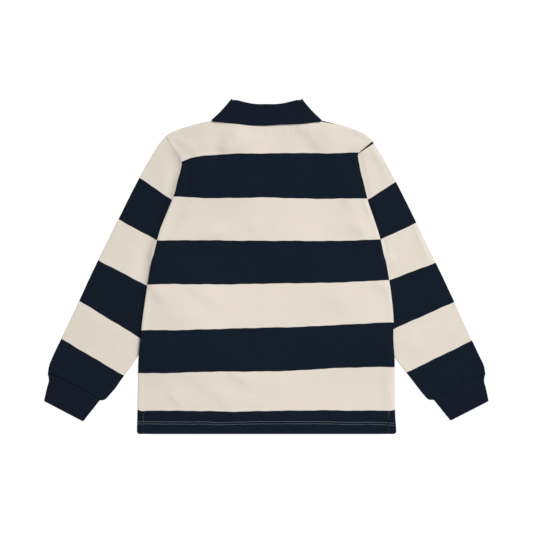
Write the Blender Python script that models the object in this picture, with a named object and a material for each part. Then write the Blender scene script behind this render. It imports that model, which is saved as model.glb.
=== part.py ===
"""A child's long-sleeve polo shirt in wide navy and cream stripes, size 6 years.

The shirt lies flat on its front with its back up: the front panel, the collar
points and the buttons rest on the surface, and each sleeve runs down beside the
body with its underarm edge tucked under the side seam.
X runs across the shirt, Y from the hem up to the collar, Z up from the surface.
Tables and sizes are in millimetres; meshes are made in metres.
"""

import math

import bmesh
import bpy
import numpy as np
from mathutils import Vector

MM = 0.001

# Cloth
JERSEY = 1.2            # wall of the body and sleeves
COLLAR_RIB = 1.6        # wall of the collar
CUFF_RIB = 1.8          # wall of the cuffs
SEAM_GAP = 0.4          # between two pieces that are sewn edge to edge, measured along X
LAYER_GAP = 0.3         # between two layers that lie on each other at a seam
BODY_AIR = 1.3          # between front and back in the middle of the body
SLEEVE_FOLD_AIR = 0.5   # between the layers of a sleeve at its folded edges
SLEEVE_AIR = 1.3        # the same in the middle of a sleeve
CUFF_AIR = 0.4          # between the layers of a cuff
FOLD_STEPS = 4          # flat strips that make a folded edge round

# Neck, collar and placket
CENTRE_X = 1.2          # the shirt's centre line
NECK_HALF = 66.0        # centre line to the side of the neck
NECK_SIDE_Y = 237.5
BACK_NECK_Y = 231.5     # lowest point of the neckline at the back
FRONT_NECK_Y = 191.0    # lowest point of the neckline at the front
FRONT_NECK_POWER = 2.6  # how square the front neckline is
COLLAR_MID_Z = 4.3      # height of the collar's middle, between its front and back
STAND_RISE = 1.0        # from that middle to the stand
LEAF_RISE = 3.5         # from that middle to the leaf that folds over the stand
NECK_LIFT = 2.7         # front panel above the surface, over collar points and buttons
STRIP_HALF = 12.9       # half the width of the placket's outer strip
UNDER_STRIP_HALF = 11.0
STRIP_FOOT_GAP = 0.3    # under the foot of the placket
BUTTON_RADIUS = 5.7
BUTTON_THICK = 2.4
BUTTON_RIM = 0.5
BUTTON_SIDES = 20
BUTTON_Y = (180.0, 142.0, 104.0)

# Where the front panel is lifted round the neck: fully inside an oval, then falling away
NECK_OVAL_Y = 200.0
NECK_OVAL_HALF_X = 100.0
NECK_OVAL_HALF_Y = 60.0
NECK_OVAL_FADE = 0.45   # share of the oval over which the lift falls away
# The same along the placket: half width and foot of the lifted strip, and where it ends
PLACKET_LIFT_HALF = 16.0
PLACKET_LIFT_FADE = 34.0
PLACKET_LIFT_FOOT_Y = 70.0
PLACKET_LIFT_FOOT_FADE = 36.0

# Sleeve under the side of the body
ARMPIT_Y = 16.0
ARMPIT_LIFT = 1.5       # front panel above the surface at the armpit
ARMHOLE_FADE = 60.0     # height above the armpit over which that lift falls away
TUCK_LIFT = 3.5         # lift over the tucked edge of the sleeve
TUCK_START = 20.0       # height below the armpit over which the lift becomes full
TUCK_END_Y = -146.0     # where the sleeve has come out from under the side
TUCK_END_FADE = 45.0
TUCK_WIDTH = 24.0       # width of the fully lifted strip along the side
TUCK_WIDTH_FADE = 44.0
SLEEVE_SETTLE = 16.0    # run beside the armhole in which the sleeve comes down to the surface
SLEEVE_FLAT_EDGE = 18.0  # width along the tucked edge in which the sleeve stays thin
SLEEVE_SWELL = 26.0     # width over which it then swells
ARMHOLE_STRAIGHT = 5.0  # number of lines across the sleeve in which the armhole curve fades

# Space between front and back, beyond the gap of two layers at their seam
SIDE_SWELL = 40.0       # width along the sides over which the body swells
TOP_SWELL = 24.0        # the same below the shoulder seams
ARMHOLE_AIR = 0.6       # extra at the middle of the armholes
ARMHOLE_AIR_TOP_Y = 200.0
ARMHOLE_AIR_RUN = 40.0
NECK_AIR = 0.5          # extra at the neckline
NECK_AIR_RUN = 30.0
STRIP_AIR = 1.0         # extra over the placket's inner strip
STRIP_AIR_HALF = 14.0
STRIP_AIR_FADE = 26.0
STRIP_AIR_FOOT_Y = 68.0
STRIP_AIR_FOOT_FADE = 30.0
STRIP_AIR_TOP_Y = 205.0
STRIP_AIR_TOP_FADE = 10.0

# Outline of the shoulders and neck sides, from the left sleeve to the right one
SHOULDER_LINE = (
    # x, y
    (-159.0, 207.0), (-149.5, 214.5), (-130.0, 221.5), (-111.0, 227.0), (-92.0, 231.8),
    (-80.0, 234.2), (CENTRE_X - NECK_HALF, NECK_SIDE_Y), (CENTRE_X + NECK_HALF, NECK_SIDE_Y),
    (80.0, 234.6), (90.0, 232.8), (110.0, 228.0), (129.0, 222.5), (148.0, 215.5),
    (158.0, 210.5), (170.0, 200.0),
)
# Armhole and side seam, from the shoulder down to the hem
LEFT_EDGE = (
    # y, x
    (207.0, -159.0), (193.5, -150.0), (182.0, -141.5), (172.5, -136.0), (164.5, -134.0),
    (153.5, -136.0), (139.0, -140.0), (120.0, -144.5), (100.5, -152.0), (81.5, -160.0),
    (62.0, -168.0), (43.0, -173.5), (24.0, -178.0), (4.5, -183.0), (-24.0, -188.0),
    (-53.0, -192.5), (-82.0, -196.5), (-120.0, -200.5), (-149.0, -203.5), (-187.5, -204.5),
    (-230.5, -205.5), (-268.0, -206.0),
)
RIGHT_EDGE = (
    # y, x
    (200.0, 170.0), (189.5, 159.5), (180.5, 150.5), (172.5, 149.0), (164.5, 150.0),
    (152.0, 152.0), (139.0, 155.5), (120.0, 160.0), (100.5, 165.0), (81.5, 171.5),
    (62.0, 178.0), (43.0, 183.5), (24.0, 187.5), (4.5, 192.0), (-24.0, 197.0),
    (-53.0, 201.0), (-82.0, 203.5), (-120.0, 203.5), (-149.0, 205.5), (-187.5, 206.0),
    (-230.5, 206.5), (-268.0, 208.5),
)
# Edges of the stripes across the body: y at the left side, at two places on the way and
# at the right side, the rows of mesh in the stripe below that edge, and its colour
STRIPE_EDGES = (
    # left, fifth, middle, right, rows, colour
    (167.0, 177.5, 180.5, 180.0, (0.0, 0.33, 0.67), "navy"),
    (110.0, 109.3, 110.3, 109.0, (0.0, 0.25, 0.5, 0.75), "cream"),
    (41.5, 41.8, 40.8, 42.5, (0.0, 0.18, 0.364, 0.53, 0.7, 0.85), "navy"),
    (-28.5, -28.4, -27.2, -21.5, (0.0, 0.25, 0.5, 0.75), "cream"),
    (-102.5, -100.5, -98.0, -90.5, (0.0, 0.25, 0.5, 0.75), "navy"),
    (-170.5, -168.3, -167.6, -160.5, (0.0, 0.33, 0.67), "cream"),
    (-231.5, -232.5, -231.5, -231.0, (0.0, 0.45), "navy"),
)
STRIPE_PLACES = (0.0, 0.2, 0.5, 1.0)
HEM_Y = -268.0
YOKE_ROWS = (0.0, 0.2, 0.4, 0.6, 0.8)
ARMPIT_ROW = 14         # row of mesh that ends at the armpit
PLACKET_ROW = 10        # row of mesh at the foot of the placket
# Columns of mesh: shares of the way from the side to the neck, then steps across the neck
SIDE_COLUMNS = (0.0, 0.05, 0.12, 0.21, 0.3, 0.4, 0.5, 0.62, 0.8)
NECK_COLUMNS = (66.0, 60.0, 50.0, 36.0, 22.0, 13.2)

# Outlines of the left and right sleeve, from the shoulder to the cuff, and the stripe
# edges across them; outer is the edge away from the body
SLEEVES = {
    "sleeve_left": {
        "side": -1,
        "outer": (
            (-159.0, 207.0), (-168.5, 199.0), (-182.5, 177.5), (-192.0, 161.5),
            (-210.0, 129.5), (-234.0, 81.5), (-257.5, 33.5), (-280.5, -14.5),
            (-302.5, -62.5), (-325.0, -110.5), (-341.0, -142.5), (-347.5, -160.0),
            (-348.5, -171.5),
        ),
        "inner": (
            (-180.0, 16.0), (-184.5, 6.0), (-187.0, -5.5), (-182.5, -24.0),
            (-177.5, -45.0), (-178.0, -67.5), (-183.0, -90.0), (-190.0, -110.5),
            (-200.5, -132.0), (-215.0, -157.0), (-228.5, -177.0), (-247.0, -202.0),
            (-261.5, -214.5), (-266.0, -214.5),
        ),
        "stripes": (
            # outer end, inner end, colour beyond
            ((-200.5, 140.5), (-151.5, 105.5), "navy"),
            ((-235.0, 75.0), (-173.5, 41.5), "cream"),
            ((-268.0, 7.0), (-190.0, -32.0), "navy"),
            ((-298.0, -57.0), (-200.0, -111.5), "cream"),
            ((-326.5, -118.0), (-227.5, -176.0), "navy"),
        ),
        "cuff": "cuff_left",
        "cuff_outer": ((-348.5, -171.5), (-346.5, -182.5), (-349.5, -194.0), (-354.0, -214.5)),
        "cuff_inner": ((-266.0, -214.5), (-292.0, -247.5)),
    },
    "sleeve_right": {
        "side": 1,
        "outer": (
            (170.0, 200.0), (177.0, 189.5), (184.5, 177.5), (194.0, 161.5),
            (211.5, 129.5), (235.5, 81.5), (258.5, 33.5), (282.0, -14.5),
            (304.5, -62.5), (326.5, -110.5), (341.5, -142.5), (349.5, -160.0),
            (351.5, -171.5),
        ),
        "inner": (
            (189.4, 16.0), (193.8, 6.0), (196.4, -5.5), (193.0, -24.0),
            (190.0, -45.0), (189.0, -67.5), (191.5, -90.0), (197.0, -110.5),
            (206.0, -133.0), (218.0, -150.5), (230.5, -168.0), (255.0, -206.0),
            (263.5, -214.0), (269.0, -214.0),
        ),
        "stripes": (
            ((209.0, 133.5), (166.0, 105.5), "navy"),
            ((240.5, 69.5), (183.5, 43.5), "cream"),
            ((271.5, 4.0), (199.5, -22.5), "navy"),
            ((300.5, -58.0), (207.5, -98.0), "cream"),
            ((330.0, -120.0), (228.0, -171.0), "navy"),
        ),
        "cuff": "cuff_right",
        "cuff_outer": ((351.5, -171.5), (349.5, -182.5), (352.5, -195.5), (357.0, -215.5)),
        "cuff_inner": ((269.0, -214.0), (295.5, -247.0)),
    },
}
# Where the lines of mesh across a sleeve start and end, as shares of its two sides
SLEEVE_LINES = (
    # outer, inner
    (0.0, 0.0), (0.05, 0.008), (0.13, 0.021), (0.23, 0.035), (0.337, 0.065), (0.433, 0.12),
    (0.533, 0.19), (0.618, 0.33), (0.702, 0.488), (0.781, 0.634), (0.862, 0.79),
    (0.926, 0.884), (0.972, 0.956), (1.0, 1.0),
)
CUFF_BOW = 2.5          # how far the cuff seam bows towards the shoulder
CUFF_LINES = (0.0, 0.3, 0.65, 1.0)
CUFF_RIBS = 34          # ribs across the upper side of a cuff; the side it lies on is plain
CUFF_RIB_RISE = 0.4     # from the furrow between two ribs to their crest
CUFF_PLAIN_EDGE = 0.045  # share of a cuff's width beside each folded edge that has no rib

# Collar, measured from the centre line; the back runs from the centre to the side
COLLAR_FOLD = ((0.0, 258.5), (15.0, 258.6), (28.0, 260.4), (41.0, 263.4), (50.0, 265.3), (54.5, 264.8))
COLLAR_EDGE = ((0.0, 224.8), (16.0, 225.0), (33.0, 226.2), (43.0, 227.3), (62.0, 229.3),
               (73.0, 230.8), (83.9, 232.6))
# Fold and edge under the front, from the side of the neck to the collar's point
COLLAR_FRONT_FOLD = ((54.5, 264.8), (47.0, 248.0), (36.0, 234.0), (22.0, 223.0), (5.0, 219.0))
COLLAR_FRONT_EDGE = ((83.9, 232.6), (74.0, 217.0), (62.0, 199.0), (48.0, 183.0), (30.0, 167.0))
COLLAR_END = 3.0        # half the space between the two ends of the collar
SIDE_NECK_IN = (-0.6, 0.3)  # step inwards at the side of the neck, where its two curves meet
COLLAR_BACK_STEPS = (0.0, 13.2, 26.0, 38.0, 50.0, 60.0)
COLLAR_TURN = (90.0, 60.0, 30.0, 0.0, -30.0, -60.0, -90.0)
STAND_STEPS = (0.0, 0.5, 1.0)
LEAF_STEPS = (0.0, 0.33, 0.67, 1.0)

# Largest creases of the back, as soft ridges and troughs
BACK_CREASES = (
    # x, y, heading in degrees, half length, half width, height
    (-69.0, 205.0, 80.0, 20.0, 7.0, -0.45),
    (76.0, 212.0, -32.0, 24.0, 7.0, -0.5),
    (-143.0, 178.0, -50.0, 14.0, 6.0, -0.3),
    (128.0, 98.0, 10.0, 22.0, 7.0, -0.45),
    (146.0, 60.0, -25.0, 18.0, 6.0, 0.5),
    (-78.0, 53.0, 4.0, 26.0, 6.0, -0.45),
    (-97.0, -54.0, -42.0, 26.0, 8.0, 0.6),
    (-149.0, -86.0, -35.0, 20.0, 7.0, -0.5),
    (106.0, -72.0, -38.0, 24.0, 8.0, -0.5),
    (147.0, -94.0, 20.0, 18.0, 7.0, 0.5),
    (-125.0, -194.0, -44.0, 34.0, 9.0, 0.6),
    (-42.0, -182.0, -22.0, 26.0, 8.0, -0.5),
    (-80.0, -212.0, -38.0, 24.0, 7.0, 0.5),
    (150.0, -205.0, 30.0, 30.0, 8.0, 0.5),
)

COLOURS = {
    # linear red, green, blue, then roughness
    "cream": (0.77, 0.70, 0.61, 0.9),
    "navy": (0.0082, 0.0126, 0.0226, 0.9),
    "navy_rib": (0.0086, 0.0132, 0.0242, 0.92),
    "button": (0.78, 0.74, 0.66, 0.35),
}


def clear_scene():
    for thing in list(bpy.data.objects):
        bpy.data.objects.remove(thing, do_unlink=True)


def material(name):
    """The named cloth or button finish, made once."""
    found = bpy.data.materials.get(name)
    if found:
        return found
    red, green, blue, rough = COLOURS[name]
    made = bpy.data.materials.new(name)
    made.use_nodes = True
    shader = made.node_tree.nodes["Principled BSDF"]
    shader.inputs["Base Color"].default_value = (red, green, blue, 1.0)
    shader.inputs["Roughness"].default_value = rough
    shader.inputs["Metallic"].default_value = 0.0
    made.diffuse_color = (red, green, blue, 1.0)
    return made


def smooth(value):
    """0 below 0, 1 above 1, and an even rise between."""
    part = np.clip(value, 0.0, 1.0)
    return part * part * (3.0 - 2.0 * part)


def through(places, values, at):
    """A smooth line through the values at rising places, read where asked."""
    places = np.asarray(places, float)
    values = np.asarray(values, float)
    rises = np.diff(values) / np.diff(places)
    slopes = np.empty_like(values)
    slopes[0] = rises[0]
    slopes[-1] = rises[-1]
    before, after = np.diff(places)[:-1], np.diff(places)[1:]
    slopes[1:-1] = (after * rises[:-1] + before * rises[1:]) / (before + after)
    at = np.clip(np.asarray(at, float), places[0], places[-1])
    cell = np.clip(np.searchsorted(places, at, side="right") - 1, 0, len(places) - 2)
    width = places[cell + 1] - places[cell]
    t = (at - places[cell]) / width
    start = values[cell] * (1.0 + 2.0 * t) * (1.0 - t) ** 2
    start = start + slopes[cell] * width * t * (1.0 - t) ** 2
    end = values[cell + 1] * t * t * (3.0 - 2.0 * t)
    return start + end + slopes[cell + 1] * width * t * t * (t - 1.0)


def edge_x(table, y):
    """x of a side of the body at a height on the shirt."""
    rows = np.asarray(table[::-1], float)
    return through(rows[:, 0], rows[:, 1], y)


def along(points, shares):
    """Points at shares of the length of a smooth line through the given points."""
    points = np.asarray(points, float)
    run = np.concatenate(([0.0], np.cumsum(np.linalg.norm(np.diff(points, axis=0), axis=1))))
    at = np.asarray(shares, float) * run[-1]
    return np.stack([through(run, points[:, 0], at), through(run, points[:, 1], at)], axis=-1)


def neckline_y(x, front):
    """Height of the neckline on the back or the front panel."""
    share = np.clip(np.abs(np.asarray(x, float) - CENTRE_X) / NECK_HALF, 0.0, 1.0)
    if front:
        dip = (1.0 - share ** FRONT_NECK_POWER) ** (1.0 / FRONT_NECK_POWER)
        return NECK_SIDE_Y - (NECK_SIDE_Y - FRONT_NECK_Y) * dip
    return BACK_NECK_Y + (NECK_SIDE_Y - BACK_NECK_Y) * share ** 2


def top_y(x, front):
    """Height of the shoulder line, or of the neckline between the shoulders."""
    line = np.asarray(SHOULDER_LINE)
    shoulder = np.interp(x, line[:, 0], line[:, 1])
    inside = np.abs(x - CENTRE_X) < NECK_HALF - 0.01
    return np.where(inside, neckline_y(x, front), shoulder)


def row_x(left, right, centre_column):
    """x of every column of mesh on a row that runs from left to right."""
    neck = list(NECK_COLUMNS) + ([0.0] if centre_column else [])
    left_half = [left + (CENTRE_X - NECK_HALF - left) * share for share in SIDE_COLUMNS]
    left_half += [CENTRE_X - step for step in neck]
    right_half = [CENTRE_X + step for step in reversed(NECK_COLUMNS)]
    right_half += [right + (CENTRE_X + NECK_HALF - right) * share for share in reversed(SIDE_COLUMNS)]
    return np.array(left_half + right_half)


def panel_plan(front, centre_column=False):
    """Plan of the front or back panel: rows of (x, y), and the colour below each row."""
    def stripe_line(edge, shares):
        return through(STRIPE_PLACES, edge[:4], shares)

    def row(left_y, right_y, ys_of):
        xs = row_x(edge_x(LEFT_EDGE, left_y), edge_x(RIGHT_EDGE, right_y), centre_column)
        return np.stack([xs, ys_of], axis=-1)

    tips = (LEFT_EDGE[0], RIGHT_EDGE[0])
    xs = row_x(tips[0][1], tips[1][1], centre_column)
    shares = (xs - xs[0]) / (xs[-1] - xs[0])
    line_above = top_y(xs, front)
    line_above[0] = tips[0][0]
    line_above[-1] = tips[1][0]
    bands = [(YOKE_ROWS, "cream")] + [(edge[4], edge[5]) for edge in STRIPE_EDGES]
    lines = [stripe_line(edge, shares) for edge in STRIPE_EDGES] + [np.full_like(xs, HEM_Y)]
    plan = []
    colours = []
    for (steps, colour), line_below in zip(bands, lines):
        for step in steps:
            ys = line_above + (line_below - line_above) * step
            plan.append(row(ys[0], ys[-1], ys))
            colours.append(colour)
        line_above = line_below
    plan.append(row(HEM_Y, HEM_Y, line_above))
    return np.array(plan), colours


def tuck_rise(y):
    """How far the front is lifted along its side: over the tucked sleeve, and less above it."""
    armpit = ARMPIT_LIFT / TUCK_LIFT
    above = armpit * (1.0 - smooth((y - ARMPIT_Y) / ARMHOLE_FADE))
    below = armpit + (1.0 - armpit) * smooth((ARMPIT_Y - y) / TUCK_START)
    return np.where(y > ARMPIT_Y, above, below) * (1.0 - smooth((TUCK_END_Y - y) / TUCK_END_FADE))


def strip_share(x, y, half, fade, foot_y, foot_fade):
    """1 along the placket, falling to 0 beside it and below its foot."""
    beside = smooth((np.abs(x - CENTRE_X) - half) / fade)
    return (1.0 - beside) * (1.0 - smooth((foot_y - y) / foot_fade))


def front_lift(x, y):
    """Height of the front panel's underside above the surface."""
    from_neck = np.hypot((x - CENTRE_X) / NECK_OVAL_HALF_X, (y - NECK_OVAL_Y) / NECK_OVAL_HALF_Y)
    neck = 1.0 - smooth((from_neck - 1.0) / NECK_OVAL_FADE)
    strip = strip_share(x, y, PLACKET_LIFT_HALF, PLACKET_LIFT_FADE,
                        PLACKET_LIFT_FOOT_Y, PLACKET_LIFT_FOOT_FADE)
    lift = NECK_LIFT * (1.0 - (1.0 - neck) * (1.0 - strip))
    for inward in (x - edge_x(LEFT_EDGE, y), edge_x(RIGHT_EDGE, y) - x):
        beside = 1.0 - smooth((inward - TUCK_WIDTH) / TUCK_WIDTH_FADE)
        lift = lift + TUCK_LIFT * tuck_rise(y) * beside
    return lift


def body_air(x, y):
    """Space between the front and the back panel."""
    inward = np.minimum(x - edge_x(LEFT_EDGE, y), edge_x(RIGHT_EDGE, y) - x)
    armhole = smooth((ARMHOLE_AIR_TOP_Y - y) / ARMHOLE_AIR_RUN) * smooth((y - ARMPIT_Y) / ARMHOLE_AIR_RUN)
    at_side = LAYER_GAP + ARMHOLE_AIR * armhole
    strip = strip_share(x, y, STRIP_AIR_HALF, STRIP_AIR_FADE, STRIP_AIR_FOOT_Y, STRIP_AIR_FOOT_FADE)
    strip = strip * smooth((STRIP_AIR_TOP_Y - y) / STRIP_AIR_TOP_FADE)
    middle = BODY_AIR + STRIP_AIR * strip
    air = at_side + (middle - at_side) * smooth(inward / SIDE_SWELL)
    at_top = LAYER_GAP + NECK_AIR * smooth((NECK_HALF - np.abs(x - CENTRE_X)) / NECK_AIR_RUN)
    return at_top + (air - at_top) * smooth((top_y(x, False) - y) / TOP_SWELL)


def creases(table, x, y):
    """Height of the soft ridges and troughs in a table."""
    height = np.zeros_like(x)
    for centre_x, centre_y, heading, half_length, half_width, rise in table:
        turn = math.radians(heading)
        run = (x - centre_x) * math.cos(turn) + (y - centre_y) * math.sin(turn)
        off = (y - centre_y) * math.cos(turn) - (x - centre_x) * math.sin(turn)
        height += rise * np.exp(-((run / half_length) ** 2) - (off / half_width) ** 2)
    return height


def front_z(x, y):
    """Middle of the front panel's wall."""
    return front_lift(x, y) + JERSEY / 2


def back_z(x, y):
    """Middle of the back panel's wall."""
    return front_z(x, y) + JERSEY + body_air(x, y)


def new_object(name, points, faces, wall, colour_names, face_colours):
    """An object whose wall lies evenly on both sides of the given surface."""
    mesh = bpy.data.meshes.new(name)
    mesh.from_pydata([tuple(float(c) * MM for c in point) for point in points], [], faces)
    for colour in colour_names:
        mesh.materials.append(material(colour))
    mesh.polygons.foreach_set("material_index", face_colours)
    mesh.shade_smooth()
    made = bpy.data.objects.new(name, mesh)
    bpy.context.scene.collection.objects.link(made)
    if wall:
        thick = made.modifiers.new("wall", "SOLIDIFY")
        thick.thickness = wall * MM
        thick.offset = 0.0
        thick.use_even_offset = True
    return made


def sheet(name, grid, wall, colour_names, colour_of, keep=None):
    """A sheet of cloth on a grid of rows and columns of points."""
    rows, columns = grid.shape[:2]
    faces = []
    tints = []
    for r in range(rows - 1):
        for c in range(columns - 1):
            if keep is not None and not keep(r, c):
                continue
            faces.append((r * columns + c, (r + 1) * columns + c,
                          (r + 1) * columns + c + 1, r * columns + c + 1))
            tints.append(colour_names.index(colour_of(r, c)))
    used = sorted({corner for face in faces for corner in face})
    place = {old: new for new, old in enumerate(used)}
    faces = [tuple(place[corner] for corner in face) for face in faces]
    points = grid.reshape(-1, 3)[used]
    return new_object(name, points, faces, wall, colour_names, tints)


def tube(name, skins, colour_names):
    """A closed tube of cloth between an outer and an inner skin of rings, open at both ends."""
    count, around = skins[0].shape[:2]
    inner = count * around
    faces = []
    for a in range(around):
        b = (a + 1) % around
        for r in range(count - 1):
            here, there = r * around, (r + 1) * around
            faces.append((here + a, here + b, there + b, there + a))
            faces.append((inner + there + a, inner + there + b, inner + here + b, inner + here + a))
        last = (count - 1) * around
        faces.append((inner + a, inner + b, b, a))
        faces.append((last + a, last + b, inner + last + b, inner + last + a))
    points = np.concatenate([skin.reshape(-1, 3) for skin in skins])
    made = new_object(name, points, faces, 0.0, colour_names, [0] * len(faces))
    shape = bmesh.new()
    shape.from_mesh(made.data)
    bmesh.ops.recalc_face_normals(shape, faces=shape.faces)
    shape.to_mesh(made.data)
    shape.free()
    return made


def back_panel():
    plan, colours = panel_plan(front=False, centre_column=True)
    x, y = plan[..., 0], plan[..., 1]
    z = back_z(x, y) + creases(BACK_CREASES, x, y)
    grid = np.dstack([draw_in_armholes(x), y, z])
    sheet("back", grid, JERSEY, ["cream", "navy"], lambda r, c: colours[r])


def draw_in_armholes(x):
    """Pulls the side columns down to just below the armpit in, to leave half the seam gap."""
    drawn = x.copy()
    drawn[:ARMPIT_ROW + 2, 0] += SEAM_GAP / 2
    drawn[:ARMPIT_ROW + 2, -1] -= SEAM_GAP / 2
    return drawn


def front_panel():
    """The front panel, with the slot at its neck that the placket fills."""
    plan, colours = panel_plan(front=True)
    x, y = plan[..., 0], plan[..., 1]
    grid = np.dstack([draw_in_armholes(x), y, front_z(x, y)])
    slot_column = len(SIDE_COLUMNS) + len(NECK_COLUMNS) - 1
    sheet("front", grid, JERSEY, ["cream", "navy"], lambda r, c: colours[r],
          keep=lambda r, c: c != slot_column or r >= PLACKET_ROW)


def placket():
    """The two strips of the neck opening: the outer fills the slot, the other lies inside it."""
    plan, _ = panel_plan(front=True)
    slot_column = len(SIDE_COLUMNS) + len(NECK_COLUMNS) - 1
    ys = plan[:PLACKET_ROW + 1, slot_column, 1].copy()
    ys[-1] += STRIP_FOOT_GAP
    for name, half, rise in (
        ("placket_outer", STRIP_HALF, 0.0),
        ("placket_inner", UNDER_STRIP_HALF, JERSEY + LAYER_GAP),
    ):
        x, y = np.meshgrid([CENTRE_X - half, CENTRE_X, CENTRE_X + half], ys)
        grid = np.dstack([x, y, front_z(x, y) + rise])
        sheet(name, grid, JERSEY, ["cream"], lambda r, c: "cream")


def button(index, y):
    """A button with a bevelled rim, face down on the surface."""
    bpy.ops.mesh.primitive_cylinder_add(
        vertices=BUTTON_SIDES, radius=BUTTON_RADIUS * MM, depth=BUTTON_THICK * MM,
        location=(CENTRE_X * MM, y * MM, BUTTON_THICK * MM / 2))
    made = bpy.context.object
    made.name = f"button_{index}"
    made.data.materials.append(material("button"))
    rim = made.modifiers.new("rim", "BEVEL")
    rim.width = BUTTON_RIM * MM
    rim.segments = 1
    rim.limit_method = "ANGLE"


def armhole_line(side):
    """Plan of an armhole on the body's rows of mesh, from the shoulder to the armpit."""
    plan, _ = panel_plan(front=False)
    return plan[:ARMPIT_ROW + 1, 0 if side < 0 else -1]


def armhole_shares(side):
    """How far along the armhole each of its rows lies."""
    steps = np.linalg.norm(np.diff(armhole_line(side), axis=0), axis=1)
    run = np.concatenate(([0.0], np.cumsum(steps)))
    return run / run[-1]


def chord_frame(chord):
    """Unit vectors along a chord and to its left."""
    return np.array([chord, (-chord[1], chord[0])]) / np.linalg.norm(chord)


def sleeve_line(armhole, shares, outer, inner, index):
    """Plan of one line across a sleeve: the armhole at its start, nearly straight further on."""
    old_chord = armhole[-1] - armhole[0]
    new_chord = inner - outer
    off = armhole - (armhole[0] + shares[:, None] * old_chord)
    size = np.linalg.norm(new_chord) / np.linalg.norm(old_chord)
    curve = (off @ chord_frame(old_chord).T) @ chord_frame(new_chord)
    fade = size * (1.0 - smooth(index / ARMHOLE_STRAIGHT))
    return outer + shares[:, None] * new_chord + curve * fade


def folded_ring(line, low, high, wall, relief=0.0):
    """Outer and inner ring of a flattened tube: along the line on top, and back underneath.

    The relief is added to the height of the upper side's outer points.
    """
    start = (line[0] - line[1]) / np.linalg.norm(line[0] - line[1])
    end = (line[-1] - line[-2]) / np.linalg.norm(line[-1] - line[-2])
    radii = (high - low) / 2
    middles = (high + low) / 2
    line = line.copy()
    line[0] = line[0] - start * (radii[0] + wall / 2)
    line[-1] = line[-1] - end * (radii[-1] + wall / 2)
    turns = [math.pi / 2 - math.pi * step / FOLD_STEPS for step in range(1, FOLD_STEPS)]
    rings = []
    for out, rise in ((wall / 2, relief + np.zeros_like(high)), (-wall / 2, np.zeros_like(high))):
        top = [(*point, z + out) for point, z in zip(line, high + rise)]
        under = [(*point, z - out) for point, z in zip(line, low)]
        far = [(*(line[-1] + end * (radii[-1] + out) * math.cos(a)),
                middles[-1] + (radii[-1] + out) * math.sin(a)) for a in turns]
        near = [(*(line[0] + start * (radii[0] + out) * math.cos(a)),
                 middles[0] + (radii[0] + out) * math.sin(a)) for a in turns[::-1]]
        rings.append(np.array(top + far + under[::-1] + near))
    return rings


def sleeve_rings(sleeve):
    """The rings of a sleeve, from the armhole seam to the cuff seam."""
    side = sleeve["side"]
    armhole = armhole_line(side)
    shares = armhole_shares(side)
    outers = along(sleeve["outer"], [line[0] for line in SLEEVE_LINES])
    inners = along(sleeve["inner"], [line[1] for line in SLEEVE_LINES])
    outers[0], inners[0] = armhole[0], armhole[-1]
    start = armhole + np.array([side * SEAM_GAP / 2, 0.0])
    rings = []
    last = len(SLEEVE_LINES) - 1
    for index, (outer, inner) in enumerate(zip(outers, inners)):
        line = start if index == 0 else sleeve_line(armhole, shares, outer, inner, index)
        if index >= last - 1:
            line = bowed(line, shares, CUFF_BOW)
        away = np.linalg.norm(line - start, axis=1)
        fade = 1.0 - smooth(away / SLEEVE_SETTLE)
        low = front_z(start[:, 0], start[:, 1]) * fade + JERSEY / 2 * (1.0 - fade)
        from_inner = np.linalg.norm(line - line[-1], axis=1)
        from_outer = np.linalg.norm(line - line[0], axis=1)
        swell = smooth((from_inner - SLEEVE_FLAT_EDGE) / SLEEVE_SWELL) * smooth(from_outer / SLEEVE_SWELL)
        air = SLEEVE_FOLD_AIR + (SLEEVE_AIR - SLEEVE_FOLD_AIR) * swell
        body = np.maximum(body_air(start[:, 0], start[:, 1]), SLEEVE_FOLD_AIR)
        air = body * fade + air * (1.0 - fade)
        rings.append(folded_ring(line, low, low + JERSEY + air, JERSEY))
    return np.array(rings).swapaxes(0, 1)


def down_arm(line):
    """Unit direction across a line over a sleeve, towards the hand."""
    chord = line[-1] - line[0]
    down = np.array([chord[1], -chord[0]]) / np.linalg.norm(chord)
    return down if down[1] < 0 else -down


def bowed(line, shares, height):
    """A straight line across a sleeve, bowed towards the shoulder at its middle."""
    return line - down_arm(line) * (height * 4.0 * shares * (1.0 - shares))[:, None]


def sleeve(name):
    """A sleeve, with its striped colours cut along straight lines across it."""
    made = tube(name, sleeve_rings(SLEEVES[name]), ["cream", "navy"])
    shape = bmesh.new()
    shape.from_mesh(made.data)
    tints = {"cream": 0, "navy": 1}
    for outer, inner, colour in SLEEVES[name]["stripes"]:
        first = Vector((*outer, 0.0)) * MM
        across = Vector((*inner, 0.0)) * MM - first
        down = Vector((*down_arm(np.array([outer, inner])), 0.0))
        everything = shape.verts[:] + shape.edges[:] + shape.faces[:]
        bmesh.ops.bisect_plane(shape, geom=everything, dist=MM * 0.01, plane_co=first, plane_no=down)
        for face in shape.faces:
            if (face.calc_center_median() - first).dot(down) > 0:
                face.material_index = tints[colour]
    shape.to_mesh(made.data)
    shape.free()
    return made


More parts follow.
